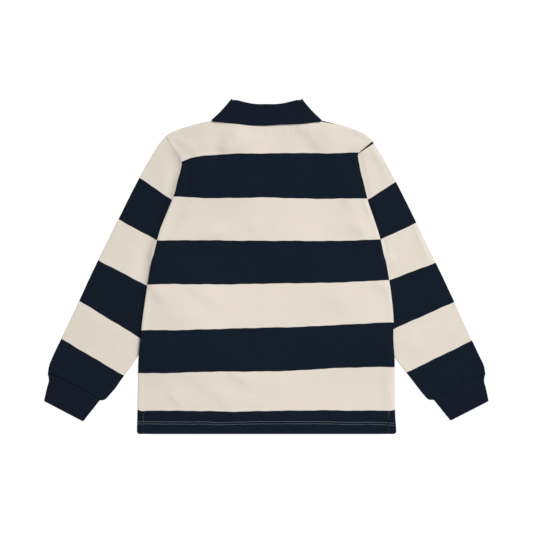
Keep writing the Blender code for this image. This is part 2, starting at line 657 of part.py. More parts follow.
def cuff(name):
    """The ribbed cuff at the end of a sleeve."""
    owner = SLEEVES[name]
    ribbed = np.linspace(CUFF_PLAIN_EDGE, 1.0 - CUFF_PLAIN_EDGE, 2 * CUFF_RIBS + 1)
    shares = np.concatenate(([0.0], ribbed, [1.0]))
    ribs = np.where(np.arange(len(shares)) % 2, 0.0, CUFF_RIB_RISE)
    ribs[[0, -1]] = 0.0
    outers = along(owner["cuff_outer"], CUFF_LINES)
    inners = along(owner["cuff_inner"], CUFF_LINES)
    rings = []
    for step, outer, inner in zip(CUFF_LINES, outers, inners):
        line = outer + shares[:, None] * (inner - outer)
        line = bowed(line, shares, CUFF_BOW * (1.0 - step))
        if step == 0.0:
            line = line + down_arm(line) * SEAM_GAP
        low = np.full(len(line), CUFF_RIB / 2)
        high = low + CUFF_RIB + CUFF_AIR
        rings.append(folded_ring(line, low, high, CUFF_RIB, ribs))
    tube(owner["cuff"], np.array(rings).swapaxes(0, 1), ["navy_rib"])


def offset_line(points, distance):
    """A line of plan points moved sideways by an even distance, to its left."""
    points = np.asarray(points, float)
    runs = np.diff(points, axis=0)
    runs = runs / np.linalg.norm(runs, axis=1)[:, None]
    lefts = np.stack([-runs[:, 1], runs[:, 0]], axis=-1)
    corners = np.vstack([lefts[:1], lefts[:-1] + lefts[1:], lefts[-1:]])
    lengths = np.einsum("ij,ij->i", corners, np.vstack([lefts[:1], lefts]))
    return points + corners / lengths[:, None] * distance


def collar_stations():
    """Stations of half the collar, from the centre of the back round to the front end."""
    back_x = np.array(COLLAR_BACK_STEPS + (NECK_HALF,))
    back_neck = np.stack([back_x, neckline_y(CENTRE_X + back_x, False)], axis=-1)
    back_neck = offset_line(back_neck, SEAM_GAP)
    front_x = np.array(NECK_COLUMNS + (COLLAR_END,))
    front_neck = np.stack([front_x, neckline_y(CENTRE_X + front_x, True)], axis=-1)
    front_neck = offset_line(front_neck, -SEAM_GAP)
    front_neck[-1] = (COLLAR_END, front_neck[-2][1])
    side_neck = (back_neck[-1] + front_neck[0]) / 2 + np.array(SIDE_NECK_IN)
    stations = []
    folds = along(COLLAR_FOLD, back_x / NECK_HALF)
    edges = along(COLLAR_EDGE, back_x / NECK_HALF)
    for neck, fold, edge in zip(back_neck[:-1], folds[:-1], edges[:-1]):
        stations.append((neck, fold, edge, 90.0))
    for turn in COLLAR_TURN:
        stations.append((side_neck, folds[-1], edges[-1], turn))
    count = len(front_neck)
    shares = np.linspace(0.0, 1.0, count)
    front_folds = along(COLLAR_FRONT_FOLD, shares)
    front_edges = along(COLLAR_FRONT_EDGE, shares)
    for neck, fold, edge in zip(front_neck[1:], front_folds[1:], front_edges[1:]):
        stations.append((neck, fold, edge, -90.0))
    return stations


def collar_section(neck, fold, edge, turn, out):
    """One section of the collar: up the stand, over the fold and down the leaf."""
    angle = math.radians(turn)
    rise = np.array([out[0] * math.cos(angle), out[1] * math.cos(angle), math.sin(angle)])
    middle = np.array([0.0, 0.0, COLLAR_MID_Z])
    up_stand = np.append((fold - neck) / np.linalg.norm(fold - neck), 0.0)
    radius = (LEAF_RISE - STAND_RISE) / 2
    points = []
    for step in STAND_STEPS:
        points.append(np.append(neck + (fold - neck) * step, 0.0) + middle + rise * STAND_RISE)
    for step in range(1, FOLD_STEPS):
        bend = math.pi * step / FOLD_STEPS
        outward = up_stand * radius * math.sin(bend)
        level = rise * (STAND_RISE + radius * (1.0 - math.cos(bend)))
        points.append(np.append(fold, 0.0) + middle + outward + level)
    for step in LEAF_STEPS:
        points.append(np.append(fold + (edge - fold) * step, 0.0) + middle + rise * LEAF_RISE)
    return points


def collar():
    """The folded rib collar, one piece from its left front end round the back to its right."""
    half = collar_stations()
    _, fold, edge, _ = half[len(COLLAR_BACK_STEPS)]
    run = (edge - fold) / np.linalg.norm(edge - fold)
    out = np.array([-run[1], run[0]])
    right = np.array([collar_section(*station, out) for station in half])
    left = right[::-1].copy()
    left[..., 0] *= -1.0
    grid = np.concatenate([left[:-1], right])
    grid[..., 0] += CENTRE_X
    sheet("collar", grid, COLLAR_RIB, ["navy_rib"], lambda r, c: "navy_rib")


def centre_on_surface():
    """Moves the whole shirt so that the middle of its box is over the origin."""
    bpy.context.view_layer.update()
    graph = bpy.context.evaluated_depsgraph_get()
    corners = []
    for thing in bpy.data.objects:
        shape = thing.evaluated_get(graph)
        mesh = shape.to_mesh()
        spots = np.empty(len(mesh.vertices) * 3)
        mesh.vertices.foreach_get("co", spots)
        spots = spots.reshape(-1, 3) + np.array(thing.matrix_world.translation)
        corners += [spots.min(axis=0), spots.max(axis=0)]
        shape.to_mesh_clear()
    low = np.min(corners, axis=0)
    high = np.max(corners, axis=0)
    shift = Vector((-(low[0] + high[0]) / 2, -(low[1] + high[1]) / 2, -low[2]))
    for thing in bpy.data.objects:
        thing.location += shift


def main():
    clear_scene()
    back_panel()
    front_panel()
    placket()
    for index, y in enumerate(BUTTON_Y, start=1):
        button(index, y)
    for name in SLEEVES:
        sleeve(name)
        cuff(name)
    collar()
    centre_on_surface()


main()
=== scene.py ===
"""The looks of a child's long-sleeve polo shirt in wide navy and cream stripes.

The shirt lies flat on its front on a white table and is seen from straight above.
Every cloth piece is built here again as a fine shell in the place of its solid, with its
creases, hem, seams, knit and stitches.
Tables and sizes are in millimetres where nothing else is said, in the plan in which the
shirt was measured; meshes are in metres, moved to where the frame has the shirt.
"""

import math

import bmesh
import bpy
import numpy as np
from mathutils import Matrix, Vector, noise


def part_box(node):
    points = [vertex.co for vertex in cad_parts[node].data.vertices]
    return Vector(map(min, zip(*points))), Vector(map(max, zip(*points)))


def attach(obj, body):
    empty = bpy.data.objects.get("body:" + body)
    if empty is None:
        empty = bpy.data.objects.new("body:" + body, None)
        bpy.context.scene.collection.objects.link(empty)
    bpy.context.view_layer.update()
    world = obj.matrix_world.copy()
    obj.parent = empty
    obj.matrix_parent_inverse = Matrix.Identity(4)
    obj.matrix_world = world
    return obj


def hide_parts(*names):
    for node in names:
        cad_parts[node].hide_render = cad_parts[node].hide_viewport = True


MM = 0.001
TINY = 1e-9
TOUCH = 0.01            # closer than this, two places are the same
FAR = 1000.0            # farther than any distance on the shirt

# Cloth
JERSEY = 1.2            # wall of the body and sleeves
COLLAR_RIB = 1.6
CUFF_RIB = 1.8
LAYER_GAP = 0.3         # between two layers at a seam
BODY_AIR = 1.3          # between front and back in the middle of the body
SLEEVE_FOLD_AIR = 0.5
SLEEVE_AIR = 0.9
CUFF_AIR = 0.4

# Neck, collar and placket
CENTRE_X = 1.2
NECK_HALF = 66.0
NECK_SIDE_Y = 237.5
BACK_NECK_Y = 231.5
FRONT_NECK_Y = 191.0
FRONT_NECK_POWER = 2.6
COLLAR_MID_Z = 4.3
STAND_RISE = 1.0
LEAF_RISE = 3.5
NECK_LIFT = 2.7
STRIP_HALF = 12.9
UNDER_STRIP_HALF = 11.0
STRIP_FOOT_Y = 77.3
BUTTON_THICK = 2.4
BUTTON_Y = (180.0, 142.0, 104.0)

# Where the front panel is lifted round the neck and along the placket
NECK_OVAL_Y = 200.0
NECK_OVAL_HALF_X = 100.0
NECK_OVAL_HALF_Y = 60.0
PLACKET_LIFT_HALF = 16.0
PLACKET_LIFT_FOOT_Y = 70.0

# Sleeve under the side of the body
ARMPIT_Y = 16.0
ARMPIT_LIFTS = (5.0, 1.8)       # left, right
ARMHOLE_FADE = 60.0
TUCK_LIFTS = (6.2, 4.2)
TUCK_START = 9.0
TUCK_END_Y = -126.0
TUCK_END_FADE = 72.0
TUCK_WIDTH = 24.0
SLEEVE_SETTLE = 19.0    # run over which a sleeve comes down beside its armhole
INNER_SETTLE = 9.0      # the same at the armpit, where the sleeve goes under the body
INNER_START = 0.9       # share of a line across the sleeve at which that begins
SLEEVE_FLAT_EDGE = 18.0     # width beside the inner fold that stays flat
SLEEVE_SWELL = 26.0
ARMHOLE_STRAIGHT = 5.0  # lines over which an armhole's curve fades out down the sleeve
ARMHOLE_BLEND = 7.0     # how far along an armhole the heights at its seam are evened out
BUNCH_TOP_Y = 25.0      # where a sleeve bunches up beside and under the body
BUNCH_FOOT_Y = -50.0
BUNCH_RUN = 14.0
BUNCH_WIDTH = 19.0
SETTLE_POWER = 3.0      # how much steeper a sleeve falls close to the body

# Armhole seam, lifted by the layers of cloth inside it
ARMHOLE_RISES = (4.2, 0.4)      # left, right
LEFT_BUMP = 2.2         # more at this place on the left
LEFT_BUMP_Y = 130.0
LEFT_BUMP_RUN = 24.0
ARMHOLE_RISE_WIDTH = 5.0

# The back lies over what lifts the front in wider, softer slopes
# Runs of the slopes: round the neck as a share, beside the placket, below it, beside a sleeve
FRONT_SLOPES = (0.45, 34.0, 36.0, 44.0)
BACK_SLOPES = (0.95, 95.0, 100.0, 170.0)
# The same beside an armhole: run, and the height and run of its upper end
FRONT_ARMHOLE = (30.0, 206.0, 34.0)
BACK_ARMHOLE = (170.0, 250.0, 110.0)
BACK_EASE = 34.0        # run beside a sewn edge over which the wider slopes begin

# Space between front and back
SIDE_SWELL = 40.0
TOP_SWELL = 50.0
ARMHOLE_AIR = 0.6
ARMHOLE_AIR_TOP_Y = 200.0
ARMHOLE_AIR_RUN = 40.0
NECK_AIR = 0.5
NECK_AIR_RUN = 30.0
STRIP_AIR = 1.0
STRIP_AIR_HALF = 14.0
STRIP_AIR_FADE = 80.0
STRIP_AIR_FOOT_Y = 68.0
STRIP_AIR_FOOT_FADE = 80.0
STRIP_AIR_TOP_Y = 231.0
STRIP_AIR_TOP_FADE = 36.0

# Outline of the left and right shoulder, from the sleeve to the side of the neck
LEFT_SHOULDER = (
    # x, y
    (-160.6, 207.6), (-155.8, 211.2), (-149.8, 214.6), (-142.4, 217.7), (-130, 222),
    (-111, 227.3), (-92, 231.9), (-80, 234.2), (CENTRE_X - NECK_HALF, NECK_SIDE_Y),
)
RIGHT_SHOULDER = (
    (CENTRE_X + NECK_HALF, NECK_SIDE_Y), (80, 234.6), (90, 232.8), (110, 228),
    (129.4, 223), (148.4, 216.1), (158.6, 211.1), (170.8, 200.4),
)
# Armhole and side seam, from the shoulder down to the hem
LEFT_EDGE = (
    # y, x
    (207.6, -160.6), (193.5, -151.8), (182, -143.4), (172.5, -137.4), (164.5, -134.6),
    (153.5, -136), (139, -140), (120, -144.5), (100.5, -152), (81.5, -160),
    (62, -168), (43, -173.5), (24, -178), (4.5, -183), (-24, -188),
    (-53, -192.5), (-82, -196.5), (-120, -200.5), (-149, -203.5), (-187.5, -204.5),
    (-230.5, -205.5), (-268, -206),
)
RIGHT_EDGE = (
    (200.4, 170.8), (190, 158.2), (181, 148.6), (172.5, 148.2), (164.5, 149.8),
    (152, 152), (139, 155.5), (120, 160), (100.5, 165), (81.5, 171.5),
    (62, 178), (43, 183.5), (24, 187.5), (4.5, 192), (-24, 197),
    (-53, 201), (-82, 203.5), (-120, 203.5), (-149, 205.5), (-187.5, 206),
    (-230.5, 206.5), (-268, 208.5),
)
HEM_Y = -267.6
# Upper edges of the stripes across the body: colour below, heights at these places across
STRIPE_X = (-206, -197, -190, -150, -130, -115, -100, -50, 0, 50, 100, 150, 190, 199, 207)
STRIPE_LINES = (
    ("navy", (146, 146, 146, 160, 169.4, 174.3, 176.4, 179.9,
              180.4, 181.4, 180.9, 182.5, 184, 184, 184)),
    ("cream", (112.6, 112.6, 112.6, 111.8, 110.8, 109.8, 109.2, 109.2,
               110.1, 108.6, 108.1, 108.8, 109.1, 109.1, 109.1)),
    ("navy", (41.9, 41.9, 41.9, 41.7, 41.8, 42, 42, 41.3,
              41.1, 41, 40.8, 42, 43.3, 43.3, 43.3)),
    ("cream", (-28.7, -28.7, -28.7, -28.3, -28.4, -28.6, -28.7, -28.7,
               -27.6, -26.9, -26.2, -24.3, -22.1, -22.1, -22.1)),
    ("navy", (-101.6, -101.6, -101.6, -101.7, -101.3, -100.9, -100.5, -99.2,
              -97.8, -96.8, -94.2, -91.6, -89.6, -89.6, -89.6)),
    ("cream", (-170.9, -170.9, -170.9, -170.5, -169.8, -169.2, -168.7, -168.3,
               -168.1, -166.6, -163.3, -161.5, -160.8, -160.8, -160.8)),
    ("navy", (-229.3, -231.9, -231.1, -230.9, -231, -231.1, -231.3, -232.3,
              -231.2, -230.6, -230.1, -230.8, -230.5, -230.9, -229.1)),
)

# Outlines of the sleeves and the stripe edges across them; how far a sleeve bunches up beside
# and under the body, and how far it bulges beside its armhole
SLEEVES = {
    "left": {
        "side": -1,
        "edge": LEFT_EDGE,
        "outer": (
            (-160.6, 207.6), (-163.9, 204.6), (-169.3, 198.2), (-175.9, 188.6),
            (-182.5, 177.5), (-192, 161.5), (-209.4, 129.3), (-233.4, 81.3),
            (-257.2, 33.4), (-280.5, -14.5), (-302.5, -62.5), (-325, -110.5),
            (-340.6, -142.5), (-347.5, -160), (-349.3, -171.5),
        ),
        "inner": (
            (-180, 16), (-180, 8), (-179.5, 0), (-178.5, -16),
            (-177, -45), (-178, -67.5), (-183, -90), (-190, -110.5),
            (-199.5, -134), (-213.4, -157), (-228.5, -177), (-247, -202),
            (-261.5, -214.5), (-266, -214.5),
        ),
        "stripes": (
            # outer end, inner end, colour beyond
            ((-200.4, 140.7), (-150.7, 106.7), "navy"),
            ((-235.1, 74.7), (-173.6, 41.2), "cream"),
            ((-266.9, 9.1), (-189.6, -31.2), "navy"),
            ((-297.4, -56), (-201.7, -114.5), "cream"),
            ((-325.7, -116.7), (-227, -175.1), "navy"),
        ),
        "cuff_outer": ((-349.3, -171.5), (-347.6, -182.5), (-350.6, -194), (-355.2, -214.5)),
        "cuff_inner": ((-266, -214.5), (-292, -247.5)),
        "bunch": 2.9,
        "crown": 0,
    },
    "right": {
        "side": 1,
        "edge": RIGHT_EDGE,
        "outer": (
            (170.8, 200.4), (177.8, 189.9), (185.3, 177.9), (194.5, 161.7), (211.5, 129.5),
            (235.5, 81.5), (258.5, 33.5), (282, -14.5), (304.5, -62.5), (326.5, -110.5),
            (341.5, -142.5), (349.5, -160), (351.5, -171.5),
        ),
        "inner": (
            (189.4, 16), (189.9, 8), (190.2, 0), (190.2, -16),
            (189.5, -45), (188.5, -67.5), (189.5, -90), (193, -112),
            (200.5, -136), (209.2, -149.5), (216.4, -159), (223.6, -168.4),
            (238.5, -187.6), (253.8, -206.8), (260, -213), (269, -214),
        ),
        "stripes": (
            ((207.9, 135.2), (164.5, 107.8), "navy"),
            ((240.5, 69.6), (183.7, 43.1), "cream"),
            ((270.9, 5.7), (199.1, -21.4), "navy"),
            ((300.3, -57.5), (207.8, -98.7), "cream"),
            ((329.4, -118.8), (227, -169), "navy"),
        ),
        "cuff_outer": ((351.5, -171.5), (349.5, -182.5), (352.4, -195), (356.6, -214.6)),
        "cuff_inner": ((269, -214), (294.9, -246.2)),
        "bunch": 0.9,
        "crown": 0.9,
    },
}
# Where lines across a sleeve start and end, as shares of its two sides
SLEEVE_LINES = (
    # outer, inner
    (0, 0), (0.05, 0.008), (0.13, 0.021), (0.23, 0.035), (0.337, 0.065), (0.433, 0.12),
    (0.533, 0.19), (0.618, 0.33), (0.702, 0.488), (0.781, 0.634), (0.862, 0.79),
    (0.926, 0.884), (0.972, 0.956), (1, 1),
)
CUFF_BOW = 2.5
BOW_START = 2.0         # lines before the cuff seam at which a sleeve's lines begin to bow
CUFF_RIBS = 34
CUFF_RIB_RISE = 0.4
CUFF_PLAIN_EDGE = 0.045
CUFF_RIBS_START = 2.5   # run beside the seam over which the ribs rise

# Collar, measured from the centre line
COLLAR_FOLD = ((0, 257.6), (15, 257.6), (28, 259.2), (41, 262.2), (50, 264.2), (54.5, 264))
COLLAR_EDGE = ((0, 225.2), (10, 225.5), (20, 226), (30, 226.5), (40, 227.2),
               (50, 228.1), (60, 229), (70, 229.9), (85.2, 231.3))
# How much higher the collar's lower edge is at places across, so that it runs unevenly
COLLAR_WAVE_X = (-84, -70, -60, -50, -40, -30, -20, -10, 0, 10, 20, 30, 40, 50, 60, 70, 84)
COLLAR_WAVE = (0.3, 0.4, 0.3, 0, -0.4, -0.8, -0.8, -0.4, 0, 0.35, 0.65, 0.5,
               0.2, -0.2, -0.5, -0.4, 0)
COLLAR_FRONT_FOLD = ((54.5, 264.8), (47, 248), (36, 234), (22, 223), (5, 219))
COLLAR_FRONT_EDGE = ((85.2, 231.3), (74, 217), (62, 199), (48, 183), (30, 167))
COLLAR_SIDE_IN = 1.2    # how far the collar's sides are drawn in between their two corners
COLLAR_END = 3.0
FACE_UP = 90.0          # which way the leaf faces on the back and on the front
FACE_DOWN = -90.0
SIDE_NECK_IN = (-0.6, 0.3)
NECK_COLUMNS = (66.0, 60.0, 50.0, 36.0, 22.0, 13.2)
SEAM_GAP = 0.4

# Fine mesh: pitch of points across the cloth, and closer steps beside an edge
PITCH = 2.8
FRONT_PITCH = 4.0
CUFF_PITCH = 2.0
EDGE_STEPS = (0.0, 0.45, 1.0, 1.8, 2.9, 4.4, 6.4)
HEM_PITCH = 1.1
HEM_CORNER = 4.0        # radius of the hem's corners
SIDE_WIDTH = 141.0      # about the width from a side of the body to the side of the neck
END_ROUNDS = 12         # rounds in which a stripe's end is found on the side
ARMHOLE_SAMPLES = 400   # fine places at which curves are measured
SLEEVE_SAMPLES = 1301
NECK_SAMPLES = 2000
SLEEVE_POINTS = 84      # points across the upper side of a sleeve
CUFF_RIB_POINTS = 4
COLLAR_STATIONS = 36    # sections of half the back of the collar, and of half its front
COLLAR_TURNS = 13
STAND_POINTS = 8
LEAF_POINTS = 14
RIM_STEPS = 3           # points between the two skins round a cut edge
RIM_TURNS = tuple(math.pi * step / (RIM_STEPS + 1) for step in range(1, RIM_STEPS + 1))
RIM_BULGE = 0.35        # how far such an edge is rounded outward, as a share of its wall
FOLD_STEPS = 8

# Seams: a sewn edge rolls down, and the allowance makes a low band beside it
EDGE_ROLL = 1.9
EDGE_DROP = 0.5
SIDE_SEAM_DEPTH = 0.5   # share of the drop that is left below the shoulders
SHOULDER_DEPTH_Y = 150.0
SHOULDER_DEPTH_RUN = 20.0
BAND_RISE = 0.3
BAND_WIDTH = 6.5
BAND_FADE = 2.0
SEAM_OUT = 0.45         # a sleeve starts this far beyond the body's edge, which is rounded
SEAM_CLOSE = 0.26       # how far the back's lower skin comes down to the front at a seam
CREASE_INSET = 7.0      # run over which creases fade out beside a sewn edge
SLEEVE_CREASE_INSET = 6.0
ARMHOLE_CREASE_INSET = 8.0
CROWN_AWAY = 9.0        # where a sleeve that bulges beside its armhole is highest
CROWN_RUNS = (4.5, 13.0)
SLEEVE_DROP = 0.12      # drop of a sleeve towards its armhole seam
SLEEVE_DROP_RUN = 0.6
CUFF_PUFF = 0.8         # rise of a sleeve that is gathered into its cuff
CUFF_PUFF_AWAY = 3.2
CUFF_PUFF_RUN = 4.0
CUFF_SEAM_DROP = 0.6
CUFF_CLEAR = 0.04       # between the end of a sleeve and its cuff
CUFF_LENGTH = 44.0
CUFF_WIDTH = 93.0       # of one side of a cuff

# Hem, turned up once and sewn with a twin needle
HEM_TOP_Y = -246.5
HEM_RISE = 0.55
HEM_STEP = 1.8          # run over which the second layer comes up
HEM_INWARD = 0.35       # share of the space inside that the second layer takes
TWIN_Y = (-248.3, -251.8)
TWIN_GROOVE = 0.3
TWIN_GROOVE_HALF = 0.8
# How the twin lines wander: drop of both lines at places across
TWIN_X = (-206, -196, -185, -140, -95, -80, -66, -55, -40, 0, 60, 105,
          125, 145, 165, 190, 198, 207)
TWIN_DROP = (0, 0.3, 0.2, 0.5, 0.5, 1.6, 1.7, 1.5, 0.5, 0, 0, 0.1,
             1.4, 1.4, 0.9, 1.5, 2.2, 3.2)

# Side seams, which come round onto the back above the hem: places down and across
SIDE_SEAMS = (
    ((-190, -202.8), (-205, -198.6), (-221, -195), (-236, -195.8), (-268, -195.8)),
    ((-165, 200.6), (-195, 198.6), (-221, 197.2), (-240, 196.8), (-268, 197.2)),
)
SIDE_SEAM_FADE = 26.0
SIDE_SEAM_GROOVE = 0.5
SIDE_SEAM_HALF = 0.9
SIDE_STITCH_TOP_Y = -233.0
SIDE_STITCH_FOOT = 2.0
SIDE_STITCH_RISES = (0.13, 0.26)

# Where another stripe shows as a sliver at a seam: widest width, places where it starts and ends
CAP_SLIVER = (4.0, 201.0, 178.5)
NECK_SLIVER = (2.2, 80.0, 112.0)
SLIVER_POWER = 0.7

# Stitches of the hem and of the side seams' ends
THREAD_RADIUS = 0.2
THREAD_SIDES = 8
THREAD_RISE = 0.1       # a stitch's middle above the bottom of its groove
STITCH_PITCH = 2.6
STITCH_LENGTH = 2.1
STITCH_SAG = 0.2
STITCH_SHARES = (-1.0, -0.86, -0.5, 0.0, 0.5, 0.86, 1.0)    # its sections, from end to end
STITCH_TAPER = 4
STITCH_TIP = 0.02
TWIN_STARTS_IN = 1.3    # a line of stitches starts and ends this far in from the sides
TWIN_ENDS_IN = 0.6

# Placket strips and buttons
STRIP_ROWS = 42
STRIP_COLUMNS = 10
BUTTON_SIDES = 48
BUTTON_HOLE = 0.65      # radius
BUTTON_HOLE_OUT = 1.35  # from the button's middle
BUTTON_HOLES = 4
BUTTON_HOLE_SIDES = 12
BUTTON_PROFILE = (
    # radius, height
    (0.01, 0.55), (2.6, 0.55), (3.3, 0.4), (3.8, 0.1), (4.3, 0.0), (5.1, 0.12), (5.55, 0.5),
    (5.7, 1.0), (5.6, 1.5), (5.2, 1.95), (4.0, 2.3), (2.5, 2.4), (0.01, 2.4),
)

# Finishes
CREAM = (0.742, 0.679, 0.590)
NAVY = (0.0058, 0.0105, 0.0208)
NAVY_RIB = (0.0064, 0.0109, 0.0207)
THREAD_COLOUR = (0.33, 0.34, 0.36)
BUTTON_COLOUR = (0.78, 0.74, 0.66)
CLOTH_SPECULAR = 0.08
CLOTH_SHEEN = 0.006
CLOTH_SHEEN_ROUGHNESS = 0.5
CLOTH_ROUGHNESS = 0.95
WALE = 1.1
COURSE = 0.8
STITCH_SLANT = 1.2
STITCH_BEAT = 0.35
KNIT_DEPTH = 0.12
COLLAR_RIB_PITCH = 2.2
COLLAR_RIB_HEIGHT = 0.9
DYE_BLUR = 0.4
# Unevenness of the dye: scale across and along the cloth, amount
EDGE_JITTER = (0.9, 0.9, 0.5)
STREAKS = (0.02, 0.42, 0.07)
PATCHES = (0.07, 0.07, 0.03)
FLECKS = (0.6, 0.6, 0.09)
NAVY_PATCHES = (0.12, 0.2, 0.26)    # dark cloth looks more uneven than cream
# Numbers that set the layers of cloth apart, so that each has its own unevenness
BACK_LAYER = 0.0
FRONT_LAYER = 1.0
SLEEVE_LAYERS = (2.0, 3.0)          # upper side, lower side
CUFF_LAYER = 5.0
COLLAR_LAYER = 6.0
STRIP_LAYER = 7.0
LAYER_STEP = 3.7

# Table, camera and light: the table's half width and the lamp's place and size are in metres
TABLE_HALF = 4.0
TABLE_SHADE = 0.12
TABLE_GLOW = 0.93       # the table is lit from inside, so that shadows on it nearly vanish
TABLE_DROP = 0.2
LENS = 100.0
SENSOR = 36.0
VIEW_X = -0.54
VIEW_Y = -0.46
VIEW_Z = 4.0
VIEW_WIDTH = 0.8528     # metres across the picture at the shirt
VIEW_END = 50.0
SKY_STRENGTH = 0.27
SUN_FROM = (0.69, 0.73, 0.9)
SUN_ANGLE = 24.0
SUN_STRENGTH = 2.3
LAMP_AT = (0.12, -0.06, 0.95)
LAMP_SIZE = 0.4
LAMP_POWER = 3.3

# Creases: soft ridges, or troughs where the height is below 0, uneven in steepness
BACK_CREASES = (
    # x, y, heading in degrees, half length, width right of the heading, width left of it, height
    (-63, 213, -66, 20, 13, 40, 0.5),
    (-67, 189, -14, 10, 6, 18, 1.4),
    (76, 211, -60, 23, 10, 31, 0.6),
    (99, 193, 9, 17, 7.5, 22, -0.2),
    (149, 197, -58, 7.5, 6, 12, 1),
    (-134, 183, -56, 9, 7.5, 15, 0.8),
    (-126, 217, -18, 10.5, 6, 18, 0.2),
    (55, 220, -69, 7, 3, 6, 1),
    (71, 223, -56, 7, 7.5, 15, 0.9),
    (-121, 88, -63, 15, 14, 45, 0.7),
    (-83, 52, 5, 26, 7.5, 18, 1.6),
    (-18, 63, -45, 13, 8.5, 27, 0.7),
    (129, 94, -69, 20, 8.5, 20, 0.4),
    (146, 63, -43, 16, 8.5, 20, 1.4),
    (164, 93, -59, 9.5, 6, 18, 1.4),
    (-173, -42, -50, 20, 9, 20, 1.9),
    (-146, -84, -80, 16, 11, 34, 1.2),
    (-103, -41, -34, 35, 11.5, 36, 1.4),
    (107, -52, 24, 29, 8.5, 27, 0.9),
    (188, -32, -41, 17, 10, 31, 1.8),
    (-107, -185, -32, 37, 7.5, 22, 0.7),
    (-68, -215, -56, 12, 7.5, 22, 1.1),
    (-144, -212, -43, 17, 7.5, 22, 1.2),
    (-43, -177, -30, 24, 7.5, 22, 1.3),
    (-1, -189, 4, 24, 7.5, 22, 0.2),
    (197, -196, -89, 37, 8.5, 15, 1.6),
    (-104, 155, -81, 17, 13, 29, 1.6),
    (-63, 157, -84, 16, 11.5, 23, 1.2),
    (-26, 169, -50, 13, 13, 33, 3.2),
    (82, 168, -49, 15, 14, 33, 0.2),
    (113, 141, -23, 21, 13, 33, 1.4),
    (74, 180, -10, 18, 10, 31, -2.2),
    (135, 146, 81, 15, 8.5, 18, 0.7),
    (-180, 7, 82, 23, 11.5, 23, 1.2),
    (-113, 22, -18, 26, 11.5, 29, -0.7),
    (-53, 6, -3, 33, 11.5, 29, 1.1),
    (14, 9, -5, 20, 10, 26, 0.9),
    (42, 12, 60, 13, 11.5, 26, 1.1),
    (72, 16, 10, 18, 10, 26, 1.9),
    (158, 33, -50, 13, 10, 23, 1.1),
    (177, 1, -63, 11, 13, 29, 1.4),
    (-156, -131, -80, 18, 13, 27, 1.2),
    (-94, -125, -42, 24, 11.5, 26, 1.4),
    (67, -119, -72, 10.5, 13, 40, 1),
    (170, -112, -54, 14, 13, 40, 1.1),
    (195, -131, -90, 20, 11.5, 21, 1.4),
    (-14, -139, -9, 10, 10, 31, 0.6),
    (-50, 199, -112, 24, 13, 34, 2.4),
    (-48, 215, -78, 16, 14, 40, 1.7),
    (-57, 198, -72, 16, 14, 40, 1.8),
    (-65, 187, -68, 10, 12, 30, 1.1),
    (68, 217, -54, 14, 11, 18, 2),
    (84, 199, -45, 15, 12, 20, 1.7),
    (98, 213, -42, 14, 10, 17, 1.1),
    (-94, 207, -66, 18, 20, 38, 1.7),
    (143, 187, -75, 8, 5, 11, 0.9),
    (132, 106, -50, 12, 8, 20, 1.7),
    (155, 60, -68, 19, 7.5, 12, 0.8),
    (187, -196, -90, 43, 8, 11, 0.2),
    (-130, 188, -60, 9.5, 7, 14, 0.9),
    (-12, 201, 10, 26, 10, 20, 0.9),
    (120, 205, -35, 16, 9, 20, -0.3),
    (150, -60, -60, 20, 9, 22, -0.2),
    (138, 60, -12, 26, 13, 24, 0.9),
    (-128, -68, -62, 22, 20, 42, 1.3),
    (122, -60, -52, 20, 18, 42, 1.1),
)
# Small gathers below the collar: place across, rise
GATHERS = (
    (-12, 0.3), (4, 0.45), (18, 0.25), (31, 0.5), (42, 0.45), (50, 0.5), (57, 0.35),
)
GATHER_Y = 217.5
GATHER_HEADING = -80.0
GATHER_RUN = 6.5
GATHER_WIDTHS = (2, 3.2)
# The same columns as for the back
FRONT_CREASES = (
    (-80, 150, 60, 24, 9, 14, 0.5),
    (95, 120, -30, 22, 9, 14, 0.5),
    (-60, 20, 12, 30, 10, 16, 0.5),
    (70, -40, -35, 26, 10, 16, 0.5),
    (-90, -110, -28, 30, 10, 16, 0.5),
    (40, -170, 20, 28, 10, 16, 0.5),
    (120, -200, 38, 26, 9, 14, 0.5),
)
SLEEVE_CREASES = {
    "left": (
        (-161, 134, 75, 16, 7.5, 11, 1.2),
        (-171, 162, -66, 13, 11.5, 26, 0.6),
        (-195, 9, 82, 29, 10, 15, -1.7),
    ),
    "right": (
        (157, 187, 34, 10, 6, 9.5, 2.9),
        (182, 175, -66, 12, 7.5, 11.5, 1.4),
        (193, 141, -81, 16, 7.5, 11.5, 0.7),
        (251, 43, -70, 26, 7.5, 13, 1.3),
        (203, 4, -76, 17, 6, 8, 0.6),
        (214, -70, -75, 16, 10, 20, 0.6),
        (230, -125, -60, 16, 20, 14, 0.7),
        (256, 16, -70, 14, 8, 12, 0.7),
    ),
}

# Slight unevenness of cloth that lies loose: size, height, and a number for its layer
BACK_DRAPES = ((31.0, 0.2, 0.0), (11.0, 0.06, 4.0))
SLEEVE_DRAPE = (24.0, 0.22, 8.0)
DRAPE_TURN = (0.83, 0.56)
# Waver of a knitted course and of the hem's twin lines: height, run, twice
COURSE_WAVER = ((0.22, 9.5), (0.16, 4.1))
TWIN_WAVER = ((0.12, 3.3), (0.1, 7.1))
BODY_PHASES = (1.7, 3.91)       # shift of both waves from one stripe to the next
SLEEVE_PHASES = (1.9, 1.0)


def smooth(value):
    """0 below 0, 1 above 1, and an even rise between."""
    part = np.clip(value, 0.0, 1.0)
    return part * part * (3.0 - 2.0 * part)


def bell(value):
    """1 at 0, falling smoothly to nearly 0 at 2 and beyond."""
    return np.exp(-np.square(value))


